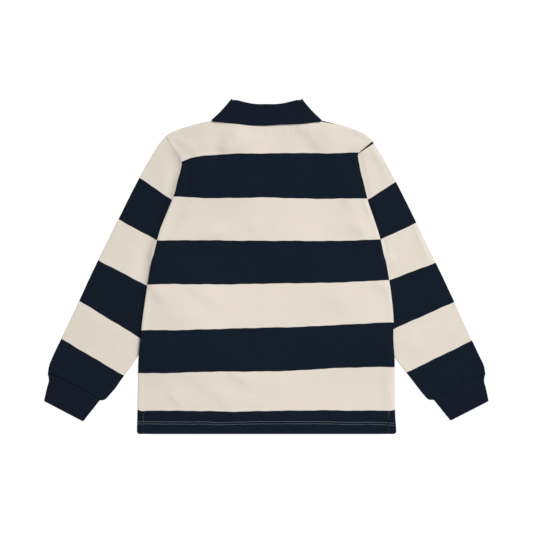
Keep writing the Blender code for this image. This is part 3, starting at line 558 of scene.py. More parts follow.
def through(places, values, at):
    """A smooth line through the values at rising places, read where asked."""
    places = np.asarray(places, float)
    values = np.asarray(values, float)
    rises = np.diff(values) / np.diff(places)
    slopes = np.empty_like(values)
    slopes[0] = rises[0]
    slopes[-1] = rises[-1]
    before, after = np.diff(places)[:-1], np.diff(places)[1:]
    slopes[1:-1] = (after * rises[:-1] + before * rises[1:]) / (before + after)
    at = np.clip(np.asarray(at, float), places[0], places[-1])
    cell = np.clip(np.searchsorted(places, at, side="right") - 1, 0, len(places) - 2)
    width = places[cell + 1] - places[cell]
    t = (at - places[cell]) / width
    start = values[cell] * (1.0 + 2.0 * t) * (1.0 - t) ** 2
    start = start + slopes[cell] * width * t * (1.0 - t) ** 2
    end = values[cell + 1] * t * t * (3.0 - 2.0 * t)
    return start + end + slopes[cell + 1] * width * t * t * (t - 1.0)


def edge_x(table, y):
    """x of a side of the body, or of a side seam, at a height on the shirt."""
    rows = np.asarray(table[::-1], float)
    return through(rows[:, 0], rows[:, 1], y)


def run_of(points):
    """Distances of points from the first one, along the line that they make."""
    return np.concatenate(([0.0], np.cumsum(np.linalg.norm(np.diff(points, axis=0), axis=1))))


def along(points, shares):
    """Points at shares of the length of a smooth line through the given points."""
    points = np.asarray(points, float)
    run = run_of(points)
    at = np.asarray(shares, float) * run[-1]
    return np.stack([through(run, points[:, 0], at), through(run, points[:, 1], at)], axis=-1)


def places_on(points, places):
    """Points at distances along a line of close points."""
    run = run_of(points)
    return np.stack([np.interp(places, run, points[:, k]) for k in range(2)], axis=-1)


def waver(waves, at, phases=(0.0, 0.0)):
    """A slight waver made of two waves, each a height and a run."""
    return sum(height * np.sin(at / run + phase) for (height, run), phase in zip(waves, phases))


def neckline_y(x, front):
    """Height of the neckline on the back or the front panel."""
    share = np.clip(np.abs(np.asarray(x, float) - CENTRE_X) / NECK_HALF, 0.0, 1.0)
    if front:
        dip = (1.0 - share ** FRONT_NECK_POWER) ** (1.0 / FRONT_NECK_POWER)
        return NECK_SIDE_Y - (NECK_SIDE_Y - FRONT_NECK_Y) * dip
    return BACK_NECK_Y + (NECK_SIDE_Y - BACK_NECK_Y) * share ** 2


def top_y(x, front):
    """Height of the shoulder line, or of the neckline between the shoulders."""
    x = np.asarray(x, float)
    left = np.asarray(LEFT_SHOULDER)
    right = np.asarray(RIGHT_SHOULDER)
    shoulder = np.where(x < CENTRE_X, through(left[:, 0], left[:, 1], x),
                        through(right[:, 0], right[:, 1], x))
    inside = np.abs(x - CENTRE_X) < NECK_HALF - TOUCH
    return np.where(inside, neckline_y(x, front), shoulder)


def stripe_y(index, x):
    """Height of a stripe's upper edge, with the slight waver of a knitted course."""
    line = through(STRIPE_X, STRIPE_LINES[index][1], x)
    return line + waver(COURSE_WAVER, x, np.multiply(BODY_PHASES, index))


def tuck_rise(y, armpit, tucked):
    """How far the front is lifted along its side: over the tucked sleeve, and less above it."""
    above = armpit * (1.0 - smooth((y - ARMPIT_Y) / ARMHOLE_FADE))
    below = armpit + (tucked - armpit) * smooth((ARMPIT_Y - y) / TUCK_START)
    return np.where(y > ARMPIT_Y, above, below) * (1.0 - smooth((TUCK_END_Y - y) / TUCK_END_FADE))


def strip_share(x, y, half, fade, foot_y, foot_fade):
    """1 along the placket, falling to 0 beside it and below its foot."""
    beside = smooth((np.abs(x - CENTRE_X) - half) / fade)
    return (1.0 - beside) * (1.0 - smooth((foot_y - y) / foot_fade))


def inwards_of(x, y):
    """Distances in from the left and the right side of the body."""
    return x - edge_x(LEFT_EDGE, y), edge_x(RIGHT_EDGE, y) - x


def inward_of(x, y):
    """Distance in from the nearer side of the body."""
    return np.minimum(*inwards_of(x, y))


def lift_over(x, y, neck_fade, strip_fade, foot_fade, tuck_fade):
    """Height to which the neck, the placket and the tucked sleeves lift the body's cloth."""
    from_neck = np.hypot((x - CENTRE_X) / NECK_OVAL_HALF_X, (y - NECK_OVAL_Y) / NECK_OVAL_HALF_Y)
    neck = 1.0 - smooth((from_neck - 1.0) / neck_fade)
    strip = strip_share(x, y, PLACKET_LIFT_HALF, strip_fade, PLACKET_LIFT_FOOT_Y, foot_fade)
    lift = NECK_LIFT * (1.0 - (1.0 - neck) * (1.0 - strip))
    for inward, armpit, tucked in zip(inwards_of(x, y), ARMPIT_LIFTS, TUCK_LIFTS):
        lift = lift + tuck_rise(y, armpit, tucked) * (1.0 - smooth((inward - TUCK_WIDTH) / tuck_fade))
    return lift


def armhole_rise(x, y, fade, top, run):
    """How far the layers of cloth inside an armhole seam lift the body beside it."""
    window = smooth((top - y) / run) * smooth((y - ARMPIT_Y) / ARMHOLE_FADE)
    besides = [1.0 - smooth((inward - ARMHOLE_RISE_WIDTH) / fade) for inward in inwards_of(x, y)]
    left = ARMHOLE_RISES[0] + LEFT_BUMP * bell((y - LEFT_BUMP_Y) / LEFT_BUMP_RUN)
    return window * (left * besides[0] + ARMHOLE_RISES[1] * besides[1])


def front_lift(x, y):
    """Height of the front panel's underside above the table."""
    return lift_over(x, y, *FRONT_SLOPES) + armhole_rise(x, y, *FRONT_ARMHOLE)


def back_lift(x, y):
    """Height of the back over the front panel's underside, where it is lifted with it."""
    close = front_lift(x, y)
    wide = lift_over(x, y, *BACK_SLOPES) + armhole_rise(x, y, *BACK_ARMHOLE)
    return close + np.maximum(wide - close, 0.0) * smooth(sewn_distance(x, y) / BACK_EASE)


def body_air(x, y):
    """Space between the front and the back panel."""
    armhole = smooth((ARMHOLE_AIR_TOP_Y - y) / ARMHOLE_AIR_RUN) * smooth((y - ARMPIT_Y) / ARMHOLE_AIR_RUN)
    at_side = LAYER_GAP + ARMHOLE_AIR * armhole
    strip = strip_share(x, y, STRIP_AIR_HALF, STRIP_AIR_FADE, STRIP_AIR_FOOT_Y, STRIP_AIR_FOOT_FADE)
    strip = strip * smooth((STRIP_AIR_TOP_Y - y) / STRIP_AIR_TOP_FADE)
    middle = BODY_AIR + STRIP_AIR * strip
    air = at_side + (middle - at_side) * smooth(inward_of(x, y) / SIDE_SWELL)
    at_top = LAYER_GAP + NECK_AIR * smooth((NECK_HALF - np.abs(x - CENTRE_X)) / NECK_AIR_RUN)
    return at_top + (air - at_top) * smooth((top_y(x, False) - y) / TOP_SWELL)


def creases(table, x, y):
    """Height of the soft ridges and troughs in a table."""
    height = np.zeros_like(x)
    for centre_x, centre_y, heading, half_length, right_width, left_width, rise in table:
        turn = math.radians(heading)
        run = (x - centre_x) * math.cos(turn) + (y - centre_y) * math.sin(turn)
        off = (y - centre_y) * math.cos(turn) - (x - centre_x) * math.sin(turn)
        half_width = np.where(off > 0, left_width, right_width)
        height += rise * bell(run / half_length) * bell(off / half_width)
    return height


def back_folds(x, y):
    """Creases and slight unevenness of the back, which fade out at its sewn edges."""
    gathers = [(at, GATHER_Y, GATHER_HEADING, GATHER_RUN, *GATHER_WIDTHS, rise) for at, rise in GATHERS]
    folds = creases(BACK_CREASES, x, y) + creases(gathers, x, y)
    for drape in BACK_DRAPES:
        folds = folds + drape_noise(x, y, *drape)
    return folds * smooth(sewn_distance(x, y) / CREASE_INSET) * smooth((y - HEM_Y) / CREASE_INSET)


def twin_drop(x):
    """How far the hem's twin lines wander down at a place across."""
    return np.interp(x, TWIN_X, TWIN_DROP) + waver(TWIN_WAVER, x)


def hem_relief(x, y):
    """Rise of the turned-up hem, with the grooves that its twin seam presses in."""
    lowered = y + twin_drop(x)
    rise = HEM_RISE * smooth((HEM_TOP_Y - lowered) / HEM_STEP)
    for line_y in TWIN_Y:
        rise = rise - TWIN_GROOVE * bell((lowered - line_y) / TWIN_GROOVE_HALF)
    return rise


def side_seam_relief(x, y):
    """Grooves of the side seams where they have come round onto the back."""
    relief = np.zeros_like(x)
    for points in SIDE_SEAMS:
        off = (x - edge_x(points, y)) / SIDE_SEAM_HALF
        relief -= SIDE_SEAM_GROOVE * bell(off) * smooth((points[0][0] - y) / SIDE_SEAM_FADE)
    return relief


def sliver(shape, place):
    """Width of a sliver at places along it, which tapers from its start."""
    width, start, end = shape
    share = (np.asarray(place, float) - start) / (end - start)
    return np.where(share < 0.0, 0.0, width * np.clip(1.0 - share, 0.0, 1.0) ** SLIVER_POWER)


def edge_roll(distance, depth=1.0):
    """Drop of a sewn edge towards its seam, beside the low band that its allowance makes."""
    roll = EDGE_DROP * depth * np.square(1.0 - np.clip(distance / EDGE_ROLL, 0.0, 1.0))
    band = BAND_RISE * smooth(distance / EDGE_ROLL) * (1.0 - smooth((distance - BAND_WIDTH) / BAND_FADE))
    return band - roll


def drape_noise(x, y, size, height, layer):
    """Slight unevenness of cloth that lies loose, different for each layer."""
    across, up = x.ravel() / size, y.ravel() / size
    ahead, aside = DRAPE_TURN
    spots = np.stack([ahead * across - aside * up, aside * across + ahead * up], axis=-1)
    values = [noise.noise(Vector((a, b, layer))) for a, b in spots]
    return height * np.reshape(values, np.shape(x))


def steps_over(length, pitch, close_start, close_end):
    """Places from 0 to a length: an even pitch, with close steps beside a finished end."""
    ends = np.array(EDGE_STEPS[:-1])
    first = EDGE_STEPS[-1] if close_start else 0.0
    last = length - (EDGE_STEPS[-1] if close_end else 0.0)
    middle = np.linspace(first, last, max(2, round((last - first) / pitch)) + 1)
    start = ends if close_start else ends[:0]
    end = length - ends[::-1] if close_end else ends[:0]
    return np.concatenate([start, middle, end])


def corner_inset(y):
    """How far the sides come in at the rounded corners of the hem."""
    up = np.clip((y - HEM_Y) / HEM_CORNER, 0.0, 1.0)
    return HEM_CORNER * (1.0 - np.sqrt(1.0 - np.square(1.0 - up)))


def stripe_ends(index):
    """Heights at which a stripe's upper edge meets the two sides."""
    found = []
    for table, x in ((LEFT_EDGE, STRIPE_X[0]), (RIGHT_EDGE, STRIPE_X[-1])):
        for _ in range(END_ROUNDS):
            x = edge_x(table, stripe_y(index, x))
        found.append(float(stripe_y(index, x)))
    return found


def panel_plan(front, pitch):
    """Plan of a panel, rows of (x, y) from the neck down to the hem, and its knit's courses."""
    neck_left, neck_right = CENTRE_X - NECK_HALF, CENTRE_X + NECK_HALF
    side = steps_over(SIDE_WIDTH, pitch, True, False) / SIDE_WIDTH
    across = steps_over(2.0 * NECK_HALF, pitch, False, False)[1:-1]

    def columns(left, right):
        """Places across the panel between its two sides."""
        return np.concatenate([left + (neck_left - left) * side, neck_left + across,
                               right + (neck_right - right) * side[::-1]])

    lines = []
    xs = columns(LEFT_EDGE[0][1], RIGHT_EDGE[0][1])
    ys = top_y(xs, front)
    ys[0], ys[-1] = LEFT_EDGE[0][0], RIGHT_EDGE[0][0]
    lines.append(ys)
    courses = [NECK_SIDE_Y]
    for index in range(len(STRIPE_LINES)):
        left_y, right_y = stripe_ends(index)
        xs = columns(edge_x(LEFT_EDGE, left_y), edge_x(RIGHT_EDGE, right_y))
        lines.append(stripe_y(index, xs))
        courses.append(float(through(STRIPE_X, STRIPE_LINES[index][1], 0.0)))
    lines.append(np.full_like(xs, HEM_Y))
    courses.append(HEM_Y)
    plan = []
    levels = []
    for band in range(len(lines) - 1):
        height = courses[band] - courses[band + 1]
        last = band == len(lines) - 2
        places = steps_over(height, HEM_PITCH if last else pitch, band == 0, last) / height
        for step in places if last else places[:-1]:
            ys = lines[band] + (lines[band + 1] - lines[band]) * step
            inset = corner_inset(ys[0])
            xs = columns(edge_x(LEFT_EDGE, ys[0]) + inset, edge_x(RIGHT_EDGE, ys[-1]) - inset)
            plan.append(np.stack([xs, ys], axis=-1))
            levels.append(np.full_like(xs, courses[band] - height * step))
    return np.array(plan), np.array(levels)


def dye_of(belows, colours):
    """Distance from the nearest stripe edge: above 0 in navy, below it in cream.

    The first are distances below each edge, the second the colours below the edges.
    """
    navy = np.zeros(np.shape(belows[0]), bool)
    for below, colour in zip(belows, colours):
        navy = np.where(below > 0, colour == "navy", navy)
    nearest = np.abs(belows).min(axis=0)
    return np.where(navy, nearest, -nearest)


def body_dye(x, y):
    """The stripes of the body."""
    belows = [stripe_y(index, x) - y for index in range(len(STRIPE_LINES))]
    return dye_of(belows, [colour for colour, _ in STRIPE_LINES])


def add_object(name, data):
    """An object in the scene that shows the data."""
    made = bpy.data.objects.new(name, data)
    bpy.context.scene.collection.objects.link(made)
    return made


def new_piece(name, points, faces, cloth, dye, finish):
    """An object from points in millimetres, with the cloth's own coordinates and its dye."""
    mesh = bpy.data.meshes.new(name)
    mesh.from_pydata(((points + SHIFT) * MM).tolist(), [], faces)
    grain = mesh.attributes.new("cloth", "FLOAT_VECTOR", "POINT")
    grain.data.foreach_set("vector", np.ascontiguousarray(cloth, np.float32).ravel())
    tint = mesh.attributes.new("dye", "FLOAT", "POINT")
    tint.data.foreach_set("value", np.ascontiguousarray(dye, np.float32).ravel())
    mesh.materials.append(finish)
    mesh.shade_smooth()
    return add_object(name, mesh)


def unit_rows(vectors):
    """Each row of a table of vectors at a length of 1."""
    return vectors / np.maximum(np.linalg.norm(vectors, axis=1), TINY)[:, None]


def edge_directions(points, through_wall, edges):
    """Outward directions at the corners of the edges that run round a sheet."""
    total = np.zeros_like(points)
    runs = points[edges[:, 1]] - points[edges[:, 0]]
    for corner in range(2):
        outs = np.cross(runs, through_wall[edges[:, corner]])
        np.add.at(total, edges[:, corner], unit_rows(outs))
    return unit_rows(total)


def open_edges(quads, count):
    """Edges that belong to one face only, in a grid of so many points."""
    edges = np.concatenate([quads[:, [k, (k + 1) % 4]] for k in range(4)])
    forward = edges[:, 0] * count + edges[:, 1]
    backward = edges[:, 1] * count + edges[:, 0]
    return edges[~np.isin(forward, backward)]


def used_only(points, faces, marks):
    """The points that faces use, the faces on them, and the points' marks."""
    used = np.unique(np.concatenate([np.ravel(face) for face in faces]))
    compact = np.zeros(len(points), int)
    compact[used] = np.arange(len(used))
    return points[used], [compact[face].tolist() for face in faces], marks[used]


def shell(name, upper, lower, cloth, dye, finish, keep=None):
    """A closed sheet of cloth between two skins on one grid, with a rounded rim."""
    rows, columns = upper.shape[:2]
    index = np.arange(rows * columns).reshape(rows, columns)
    quads = np.stack([index[:-1, :-1], index[1:, :-1], index[1:, 1:], index[:-1, 1:]], axis=-1)
    quads = quads[np.ones((rows - 1, columns - 1), bool) if keep is None else keep]
    count = rows * columns
    rim = open_edges(quads, count)
    top = upper.reshape(-1, 3)
    low = lower.reshape(-1, 3)
    out = edge_directions(top, top - low, rim)
    around = np.unique(rim)
    place = np.zeros(count, int)
    place[around] = np.arange(len(around))
    middle = (top[around] + low[around]) / 2
    half = (top[around] - low[around]) / 2
    layers = [top, low]
    marks = [np.arange(count), np.arange(count)]
    for angle in RIM_TURNS:
        reach = 2.0 * np.linalg.norm(half, axis=1)[:, None] * RIM_BULGE * math.sin(angle)
        layers.append(middle + half * math.cos(angle) + out[around] * reach)
        marks.append(around)
    faces = quads.tolist() + (quads[:, ::-1] + count).tolist()
    start, end = rim[:, 0], rim[:, 1]
    rings = [(start, end)]
    for step in range(RIM_STEPS):
        offset = 2 * count + step * len(around)
        rings.append((place[start] + offset, place[end] + offset))
    rings.append((start + count, end + count))
    for (a, b), (c, d) in zip(rings[:-1], rings[1:]):
        faces += np.stack([b, a, c, d], axis=-1).tolist()
    points, faces, marks = used_only(np.concatenate(layers), faces, np.concatenate(marks))
    return new_piece(name, points, faces, cloth.reshape(-1, 3)[marks], dye.ravel()[marks], finish)


def tube(name, outer, inner, cloth, dye, finish, round_end):
    """A closed tube of cloth between an outer and an inner skin of rings, open at both ends."""
    around = outer.shape[1]
    skins = [outer, inner[::-1]]
    coats = [cloth, cloth[::-1]]
    dyes = [dye, dye[::-1]]
    if round_end:
        ahead = outer[-1] - outer[-2]
        ahead[:, 2] = 0.0
        ahead = unit_rows(ahead)
        middle = (outer[-1] + inner[-1]) / 2
        half = (outer[-1] - inner[-1]) / 2
        reach = np.linalg.norm(half, axis=1)[:, None]
        caps = [middle + half * math.cos(a) + ahead * reach * math.sin(a) for a in RIM_TURNS]
        skins.insert(1, np.array(caps))
        coats.insert(1, np.repeat(cloth[-1:], RIM_STEPS, axis=0))
        dyes.insert(1, np.repeat(dye[-1:], RIM_STEPS, axis=0))
    rings = np.concatenate(skins)
    cloth = np.concatenate(coats).reshape(-1, 3)
    dye = np.concatenate(dyes).ravel()
    here = np.arange(len(rings) * around).reshape(len(rings), around)
    there = np.roll(here, -1, axis=0)
    quads = np.stack([here, np.roll(here, -1, axis=1), np.roll(there, -1, axis=1), there], axis=-1)
    made = new_piece(name, rings.reshape(-1, 3), quads.reshape(-1, 4).tolist(), cloth, dye, finish)
    shape = bmesh.new()
    shape.from_mesh(made.data)
    bmesh.ops.recalc_face_normals(shape, faces=shape.faces)
    shape.to_mesh(made.data)
    shape.free()
    return made


def front_z(x, y):
    """Middle of the front panel's wall."""
    return front_lift(x, y) + JERSEY / 2


def back_z(x, y):
    """Middle of the back panel's wall."""
    return back_lift(x, y) + JERSEY + body_air(x, y) + JERSEY / 2


def sewn_distance(x, y):
    """Distance in from the nearest sewn edge of a panel: its sides, armholes and shoulders."""
    shoulder = np.where(np.abs(x - CENTRE_X) < NECK_HALF, FAR, top_y(x, False) - y)
    return np.minimum(inward_of(x, y), shoulder)


def back_roll(x, y):
    """The rolled edge all round the back."""
    shoulder = smooth((y - SHOULDER_DEPTH_Y) / SHOULDER_DEPTH_RUN)
    depth = SIDE_SEAM_DEPTH + (1.0 - SIDE_SEAM_DEPTH) * shoulder
    return edge_roll(sewn_distance(x, y), depth)


def back_top(x, y):
    """Height of the back's upper skin."""
    relief = back_roll(x, y) + hem_relief(x, y) + side_seam_relief(x, y)
    return back_z(x, y) + JERSEY / 2 + back_folds(x, y) + relief


def back_panel(finish):
    """The back of the body, from the neck and shoulders down to its turned-up hem."""
    plan, levels = panel_plan(False, PITCH)
    x, y = plan[..., 0], plan[..., 1]
    folds = back_folds(x, y)
    roll = back_roll(x, y)
    upper = back_top(x, y)
    doubled = smooth((HEM_TOP_Y - y) / HEM_STEP)
    lower = back_z(x, y) - JERSEY / 2 + folds - HEM_INWARD * doubled * body_air(x, y)
    lower += np.maximum(roll, -SEAM_CLOSE) * (roll < 0)
    cloth = np.dstack([x, levels, np.full_like(x, BACK_LAYER)])
    dye = np.maximum(body_dye(x, y), sliver(NECK_SLIVER, x) - (top_y(x, False) - y))
    return shell("jersey_back", np.dstack([x, y, upper]), np.dstack([x, y, lower]), cloth, dye, finish)


def front_panel(finish):
    """The front of the body, with the slot of the neck opening."""
    plan, levels = panel_plan(True, FRONT_PITCH)
    x, y = plan[..., 0], plan[..., 1]
    slot = (np.abs(x - CENTRE_X) < STRIP_HALF) & (y > STRIP_FOOT_Y)
    keep = ~(slot[:-1, :-1] | slot[1:, :-1] | slot[1:, 1:] | slot[:-1, 1:])
    folds = np.maximum(creases(FRONT_CREASES, x, y), 0.0)
    doubled = smooth((HEM_TOP_Y - y) / HEM_STEP)
    upper = front_z(x, y) + JERSEY / 2 + folds + HEM_INWARD * doubled * body_air(x, y)
    lower = front_z(x, y) - JERSEY / 2 + folds - np.minimum(edge_roll(sewn_distance(x, y)), 0.0)
    for line_y in TWIN_Y:
        lower = lower + TWIN_GROOVE * bell((y - line_y) / TWIN_GROOVE_HALF)
    cloth = np.dstack([x, levels, np.full_like(x, FRONT_LAYER)])
    return shell("jersey_front", np.dstack([x, y, upper]), np.dstack([x, y, lower]),
                 cloth, body_dye(x, y), finish, keep)


def armhole_line(sleeve, count):
    """Plan of an armhole from the shoulder to the armpit, at an even pitch."""
    ys = np.linspace(sleeve["edge"][0][0], ARMPIT_Y, ARMHOLE_SAMPLES)
    points = np.stack([edge_x(sleeve["edge"], ys) + sleeve["side"] * SEAM_OUT, ys], axis=-1)
    return places_on(points, np.linspace(0.0, run_of(points)[-1], count))


def arch(share):
    """0 at 0 and at 1, and 1 halfway between."""
    return 4.0 * share * (1.0 - share)


def chord_frame(chord):
    """Unit vectors along a chord and to its left."""
    return np.array([chord, (-chord[1], chord[0])]) / np.linalg.norm(chord)


def sleeve_line(armhole, shares, outer, inner, index):
    """Plan of one line across a sleeve: the armhole at its start, nearly straight further on."""
    old_chord = armhole[-1] - armhole[0]
    new_chord = inner - outer
    off = armhole - (armhole[0] + shares[:, None] * old_chord)
    size = np.linalg.norm(new_chord) / np.linalg.norm(old_chord)
    curve = (off @ chord_frame(old_chord).T) @ chord_frame(new_chord)
    fade = size * (1.0 - smooth(index / ARMHOLE_STRAIGHT))
    return outer + shares[:, None] * new_chord + curve * fade


def folded_ring(line, shares, low, high, wall, outside, inside):
    """Outer and inner ring of a flattened tube: along the line on top, and back underneath.

    The last two are added to the heights of the upper side's outer and inner points.
    """
    start = (line[0] - line[1]) / np.linalg.norm(line[0] - line[1])
    end = (line[-1] - line[-2]) / np.linalg.norm(line[-1] - line[-2])
    radii = (high - low) / 2
    middles = (high + low) / 2
    shares = shares[:, None]
    line = line - start * (radii[0] + wall / 2) * (1.0 - shares)
    line = line - end * (radii[-1] + wall / 2) * shares
    turns = [math.pi / 2 - math.pi * step / FOLD_STEPS for step in range(1, FOLD_STEPS)]
    rings = []
    for out, rise in ((wall / 2, outside), (-wall / 2, inside)):
        top = [(*point, z + out) for point, z in zip(line, high + rise)]
        under = [(*point, z - out) for point, z in zip(line, low)]
        far = [(*(line[-1] + end * (radii[-1] + out) * math.cos(a)),
                middles[-1] + (radii[-1] + out) * math.sin(a)) for a in turns]
        near = [(*(line[0] + start * (radii[0] + out) * math.cos(a)),
                 middles[0] + (radii[0] + out) * math.sin(a)) for a in turns[::-1]]
        rings.append(np.array(top + far + under[::-1] + near))
    return rings


def down_arm(line):
    """Unit direction across a line over a sleeve, towards the hand."""
    chord = np.asarray(line[-1]) - np.asarray(line[0])
    down = np.array([chord[1], -chord[0]]) / np.linalg.norm(chord)
    return down if down[1] < 0 else -down


def bowed(line, shares, height):
    """A straight line across a sleeve, bowed towards the shoulder at its middle."""
    return line - down_arm(line) * (height * arch(shares))[:, None]


def sleeve_sides(sleeve, places):
    """Ends of lines across a sleeve, on its two sides, from their numbers, whole or between."""
    whole = np.arange(len(SLEEVE_LINES))
    shares = np.array(SLEEVE_LINES)
    return [along(sleeve[side], through(whole, shares[:, column], places))
            for column, side in enumerate(("outer", "inner"))]


def sleeve_places(sleeve):
    """Numbers of the lines across a sleeve, whole and between, with their distances down it."""
    whole = np.arange(len(SLEEVE_LINES))
    dense = np.linspace(0.0, whole[-1], SLEEVE_SAMPLES)
    outers, inners = sleeve_sides(sleeve, dense)
    run = run_of((outers + inners) / 2)
    distances = steps_over(run[-1], PITCH, True, True)
    return np.interp(distances, run, dense), distances


def stripe_distances(sleeve, points):
    """How far points lie below each stripe edge of a sleeve."""
    found = []
    for number, (outer, inner, _) in enumerate(sleeve["stripes"]):
        down = down_arm((outer, inner))
        across = (points - outer) @ chord_frame(np.subtract(inner, outer))[0]
        moved = waver(COURSE_WAVER, across, np.multiply(SLEEVE_PHASES, number))
        found.append((points - outer) @ down + moved)
    return np.array(found)


def sleeve_courses(sleeve, points):
    """How far down the sleeve a knitted course lies, the same all along each stripe edge."""
    below = stripe_distances(sleeve, points)
    middles = [(np.array(outer) + inner) / 2 for outer, inner, _ in sleeve["stripes"]]
    gaps = [np.linalg.norm(b - a) for a, b in zip(middles[:-1], middles[1:])]
    level = below[0].copy()
    reached = 0.0
    for number, gap in enumerate(gaps):
        before, after = below[number], below[number + 1]
        share = before / np.where(np.abs(before - after) < 1.0, 1.0, before - after)
        level = np.where(before > 0, reached + gap * share, level)
        reached += gap
        level = np.where(after > 0, reached + after, level)
    return level


def near_armhole(armhole, values, line):
    """Distance of points from the armhole, and its values there."""
    gaps = np.linalg.norm(line[:, None] - armhole[None], axis=-1)
    nearest = gaps.min(axis=1)
    weights = np.exp(-(np.square(gaps) - np.square(nearest)[:, None]) / ARMHOLE_BLEND ** 2)
    return nearest, (weights @ values) / weights.sum(axis=1)[:, None]


def bunched(made, line):
    """Rise of the sleeve where its cloth is pushed together beside and under the body."""
    x, y = line[:, 0], line[:, 1]
    edge = edge_x(made["edge"], y)
    beyond = np.maximum((x - edge) * made["side"], 0.0)
    window = smooth((BUNCH_TOP_Y - y) / BUNCH_RUN) * smooth((y - BUNCH_FOOT_Y) / BUNCH_RUN)
    return made["bunch"] * window * np.clip(1.0 - beyond / BUNCH_WIDTH, 0.0, 1.0) ** SETTLE_POWER


def sleeve_folds(name, line, away, ahead):
    """Relief of a line over a sleeve, away from its armhole and ahead of its cuff seam."""
    x, y = line[:, 0], line[:, 1]
    folds = creases(SLEEVE_CREASES[name], x, y) + CUFF_PUFF * bell((ahead - CUFF_PUFF_AWAY) / CUFF_PUFF_RUN)
    folds += drape_noise(x, y, *SLEEVE_DRAPE)
    crown_run = np.where(away < CROWN_AWAY, *CROWN_RUNS)
    folds += SLEEVES[name]["crown"] * bell((away - CROWN_AWAY) / crown_run)
    return folds * smooth(away / ARMHOLE_CREASE_INSET)


def sleeve_skins(name, armhole, sewn):
    """Outer and inner skin of a sleeve, from its armhole and the heights that it has there."""
    made = SLEEVES[name]
    shares = np.linspace(0.0, 1.0, SLEEVE_POINTS)
    places, distances = sleeve_places(made)
    outers, inners = sleeve_sides(made, places)
    outers[0], inners[0] = armhole[0], armhole[-1]
    last = len(SLEEVE_LINES) - 1
    at_inner = smooth((shares - INNER_START) / (1.0 - INNER_START))
    settle = SLEEVE_SETTLE + (INNER_SETTLE - SLEEVE_SETTLE) * at_inner
    skins = []
    for place, distance, outer, inner in zip(places, distances, outers, inners):
        line = sleeve_line(armhole, shares, outer, inner, place)
        line = bowed(line, shares, CUFF_BOW * smooth(place - last + BOW_START))
        away, at_seam = near_armhole(armhole, sewn, line)
        fade = np.clip(1.0 - away / settle, 0.0, 1.0) ** SETTLE_POWER
        low = at_seam[:, 0] * fade + (JERSEY / 2 + bunched(made, line)) * (1.0 - fade)
        from_inner = np.linalg.norm(line - line[-1], axis=1)
        from_outer = np.linalg.norm(line - line[0], axis=1)
        swell = smooth((from_inner - SLEEVE_FLAT_EDGE) / SLEEVE_SWELL) * smooth(from_outer / SLEEVE_SWELL)
        air = SLEEVE_FOLD_AIR + (SLEEVE_AIR - SLEEVE_FOLD_AIR) * swell
        air = at_seam[:, 1] * fade + air * (1.0 - fade)
        inset = smooth(np.minimum(from_inner, from_outer) / SLEEVE_CREASE_INSET)
        ahead = distances[-1] - distance
        folds = sleeve_folds(name, line, away, ahead) * inset
        roll = edge_roll(np.full_like(away, ahead)) - SLEEVE_DROP * bell(away / SLEEVE_DROP_RUN)
        skins.append(folded_ring(line, shares, low, low + JERSEY + air, JERSEY, folds + roll, folds))
    return np.array(skins).swapaxes(0, 1)


def sleeve(name, finish):
    """A sleeve, from the armhole seam to the cuff seam."""
    made = SLEEVES[name]
    armhole = armhole_line(made, SLEEVE_POINTS)
    x, y = armhole[:, 0], armhole[:, 1]
    sewn = np.stack([front_z(x, y), np.maximum(body_air(x, y), SLEEVE_FOLD_AIR)], axis=-1)
    outer_skin, inner_skin = sleeve_skins(name, armhole, sewn)
    plan = outer_skin[..., :2]
    dye = dye_of(stripe_distances(made, plan), [colour for _, _, colour in made["stripes"]])
    if name == "right":    # the next stripe shows at the top of its armhole
        away, _ = near_armhole(armhole, sewn, plan.reshape(-1, 2))
        dye = np.maximum(dye, sliver(CAP_SLIVER, plan[..., 1]) - away.reshape(dye.shape))
    axis = chord_frame(np.subtract(made["stripes"][2][1], made["stripes"][2][0]))[0]
    half = SLEEVE_POINTS + FOLD_STEPS // 2
    layer = np.where(np.arange(outer_skin.shape[1]) < half, *SLEEVE_LAYERS)
    layer = np.broadcast_to(layer, dye.shape)
    cloth = np.dstack([plan @ axis, sleeve_courses(made, plan), layer])
    return tube(f"jersey_sleeve_{name}", outer_skin, inner_skin, cloth, dye, finish, False)


def cuff(name, finish):
    """The ribbed cuff at the end of a sleeve."""
    owner = SLEEVES[name]
    shares = np.linspace(0.0, 1.0, CUFF_RIBS * CUFF_RIB_POINTS + 1)
    wave = 0.5 - 0.5 * np.cos(2.0 * math.pi * CUFF_RIBS * shares)
    inset = smooth(np.minimum(shares, 1.0 - shares) / CUFF_PLAIN_EDGE)
    steps = steps_over(CUFF_LENGTH, CUFF_PITCH, True, False) / CUFF_LENGTH
    outers = along(owner["cuff_outer"], steps)
    inners = along(owner["cuff_inner"], steps)
    low = np.full(len(shares), CUFF_RIB / 2)
    high = low + CUFF_RIB + CUFF_AIR
    skins = []
    for step, outer, inner in zip(steps, outers, inners):
        line = outer + shares[:, None] * (inner - outer)
        line = bowed(line, shares, CUFF_BOW * (1.0 - step)) + down_arm(line) * CUFF_CLEAR * (1.0 - step)
        grown = smooth(step * CUFF_LENGTH / CUFF_RIBS_START)
        relief = CUFF_RIB_RISE * wave * inset * grown - CUFF_SEAM_DROP * (1.0 - grown)
        skins.append(folded_ring(line, shares, low, high, CUFF_RIB, relief, np.zeros_like(low)))
    outer_skin, inner_skin = np.array(skins).swapaxes(0, 1)
    around = np.linspace(0.0, 2.0, outer_skin.shape[1]) * CUFF_WIDTH
    down = np.broadcast_to((steps * CUFF_LENGTH)[:, None], outer_skin.shape[:2])
    cloth = np.dstack([np.broadcast_to(around, down.shape), down, np.full_like(down, CUFF_LAYER)])
    return tube(f"rib_cuff_{name}", outer_skin, inner_skin, cloth, np.ones_like(down), finish, True)


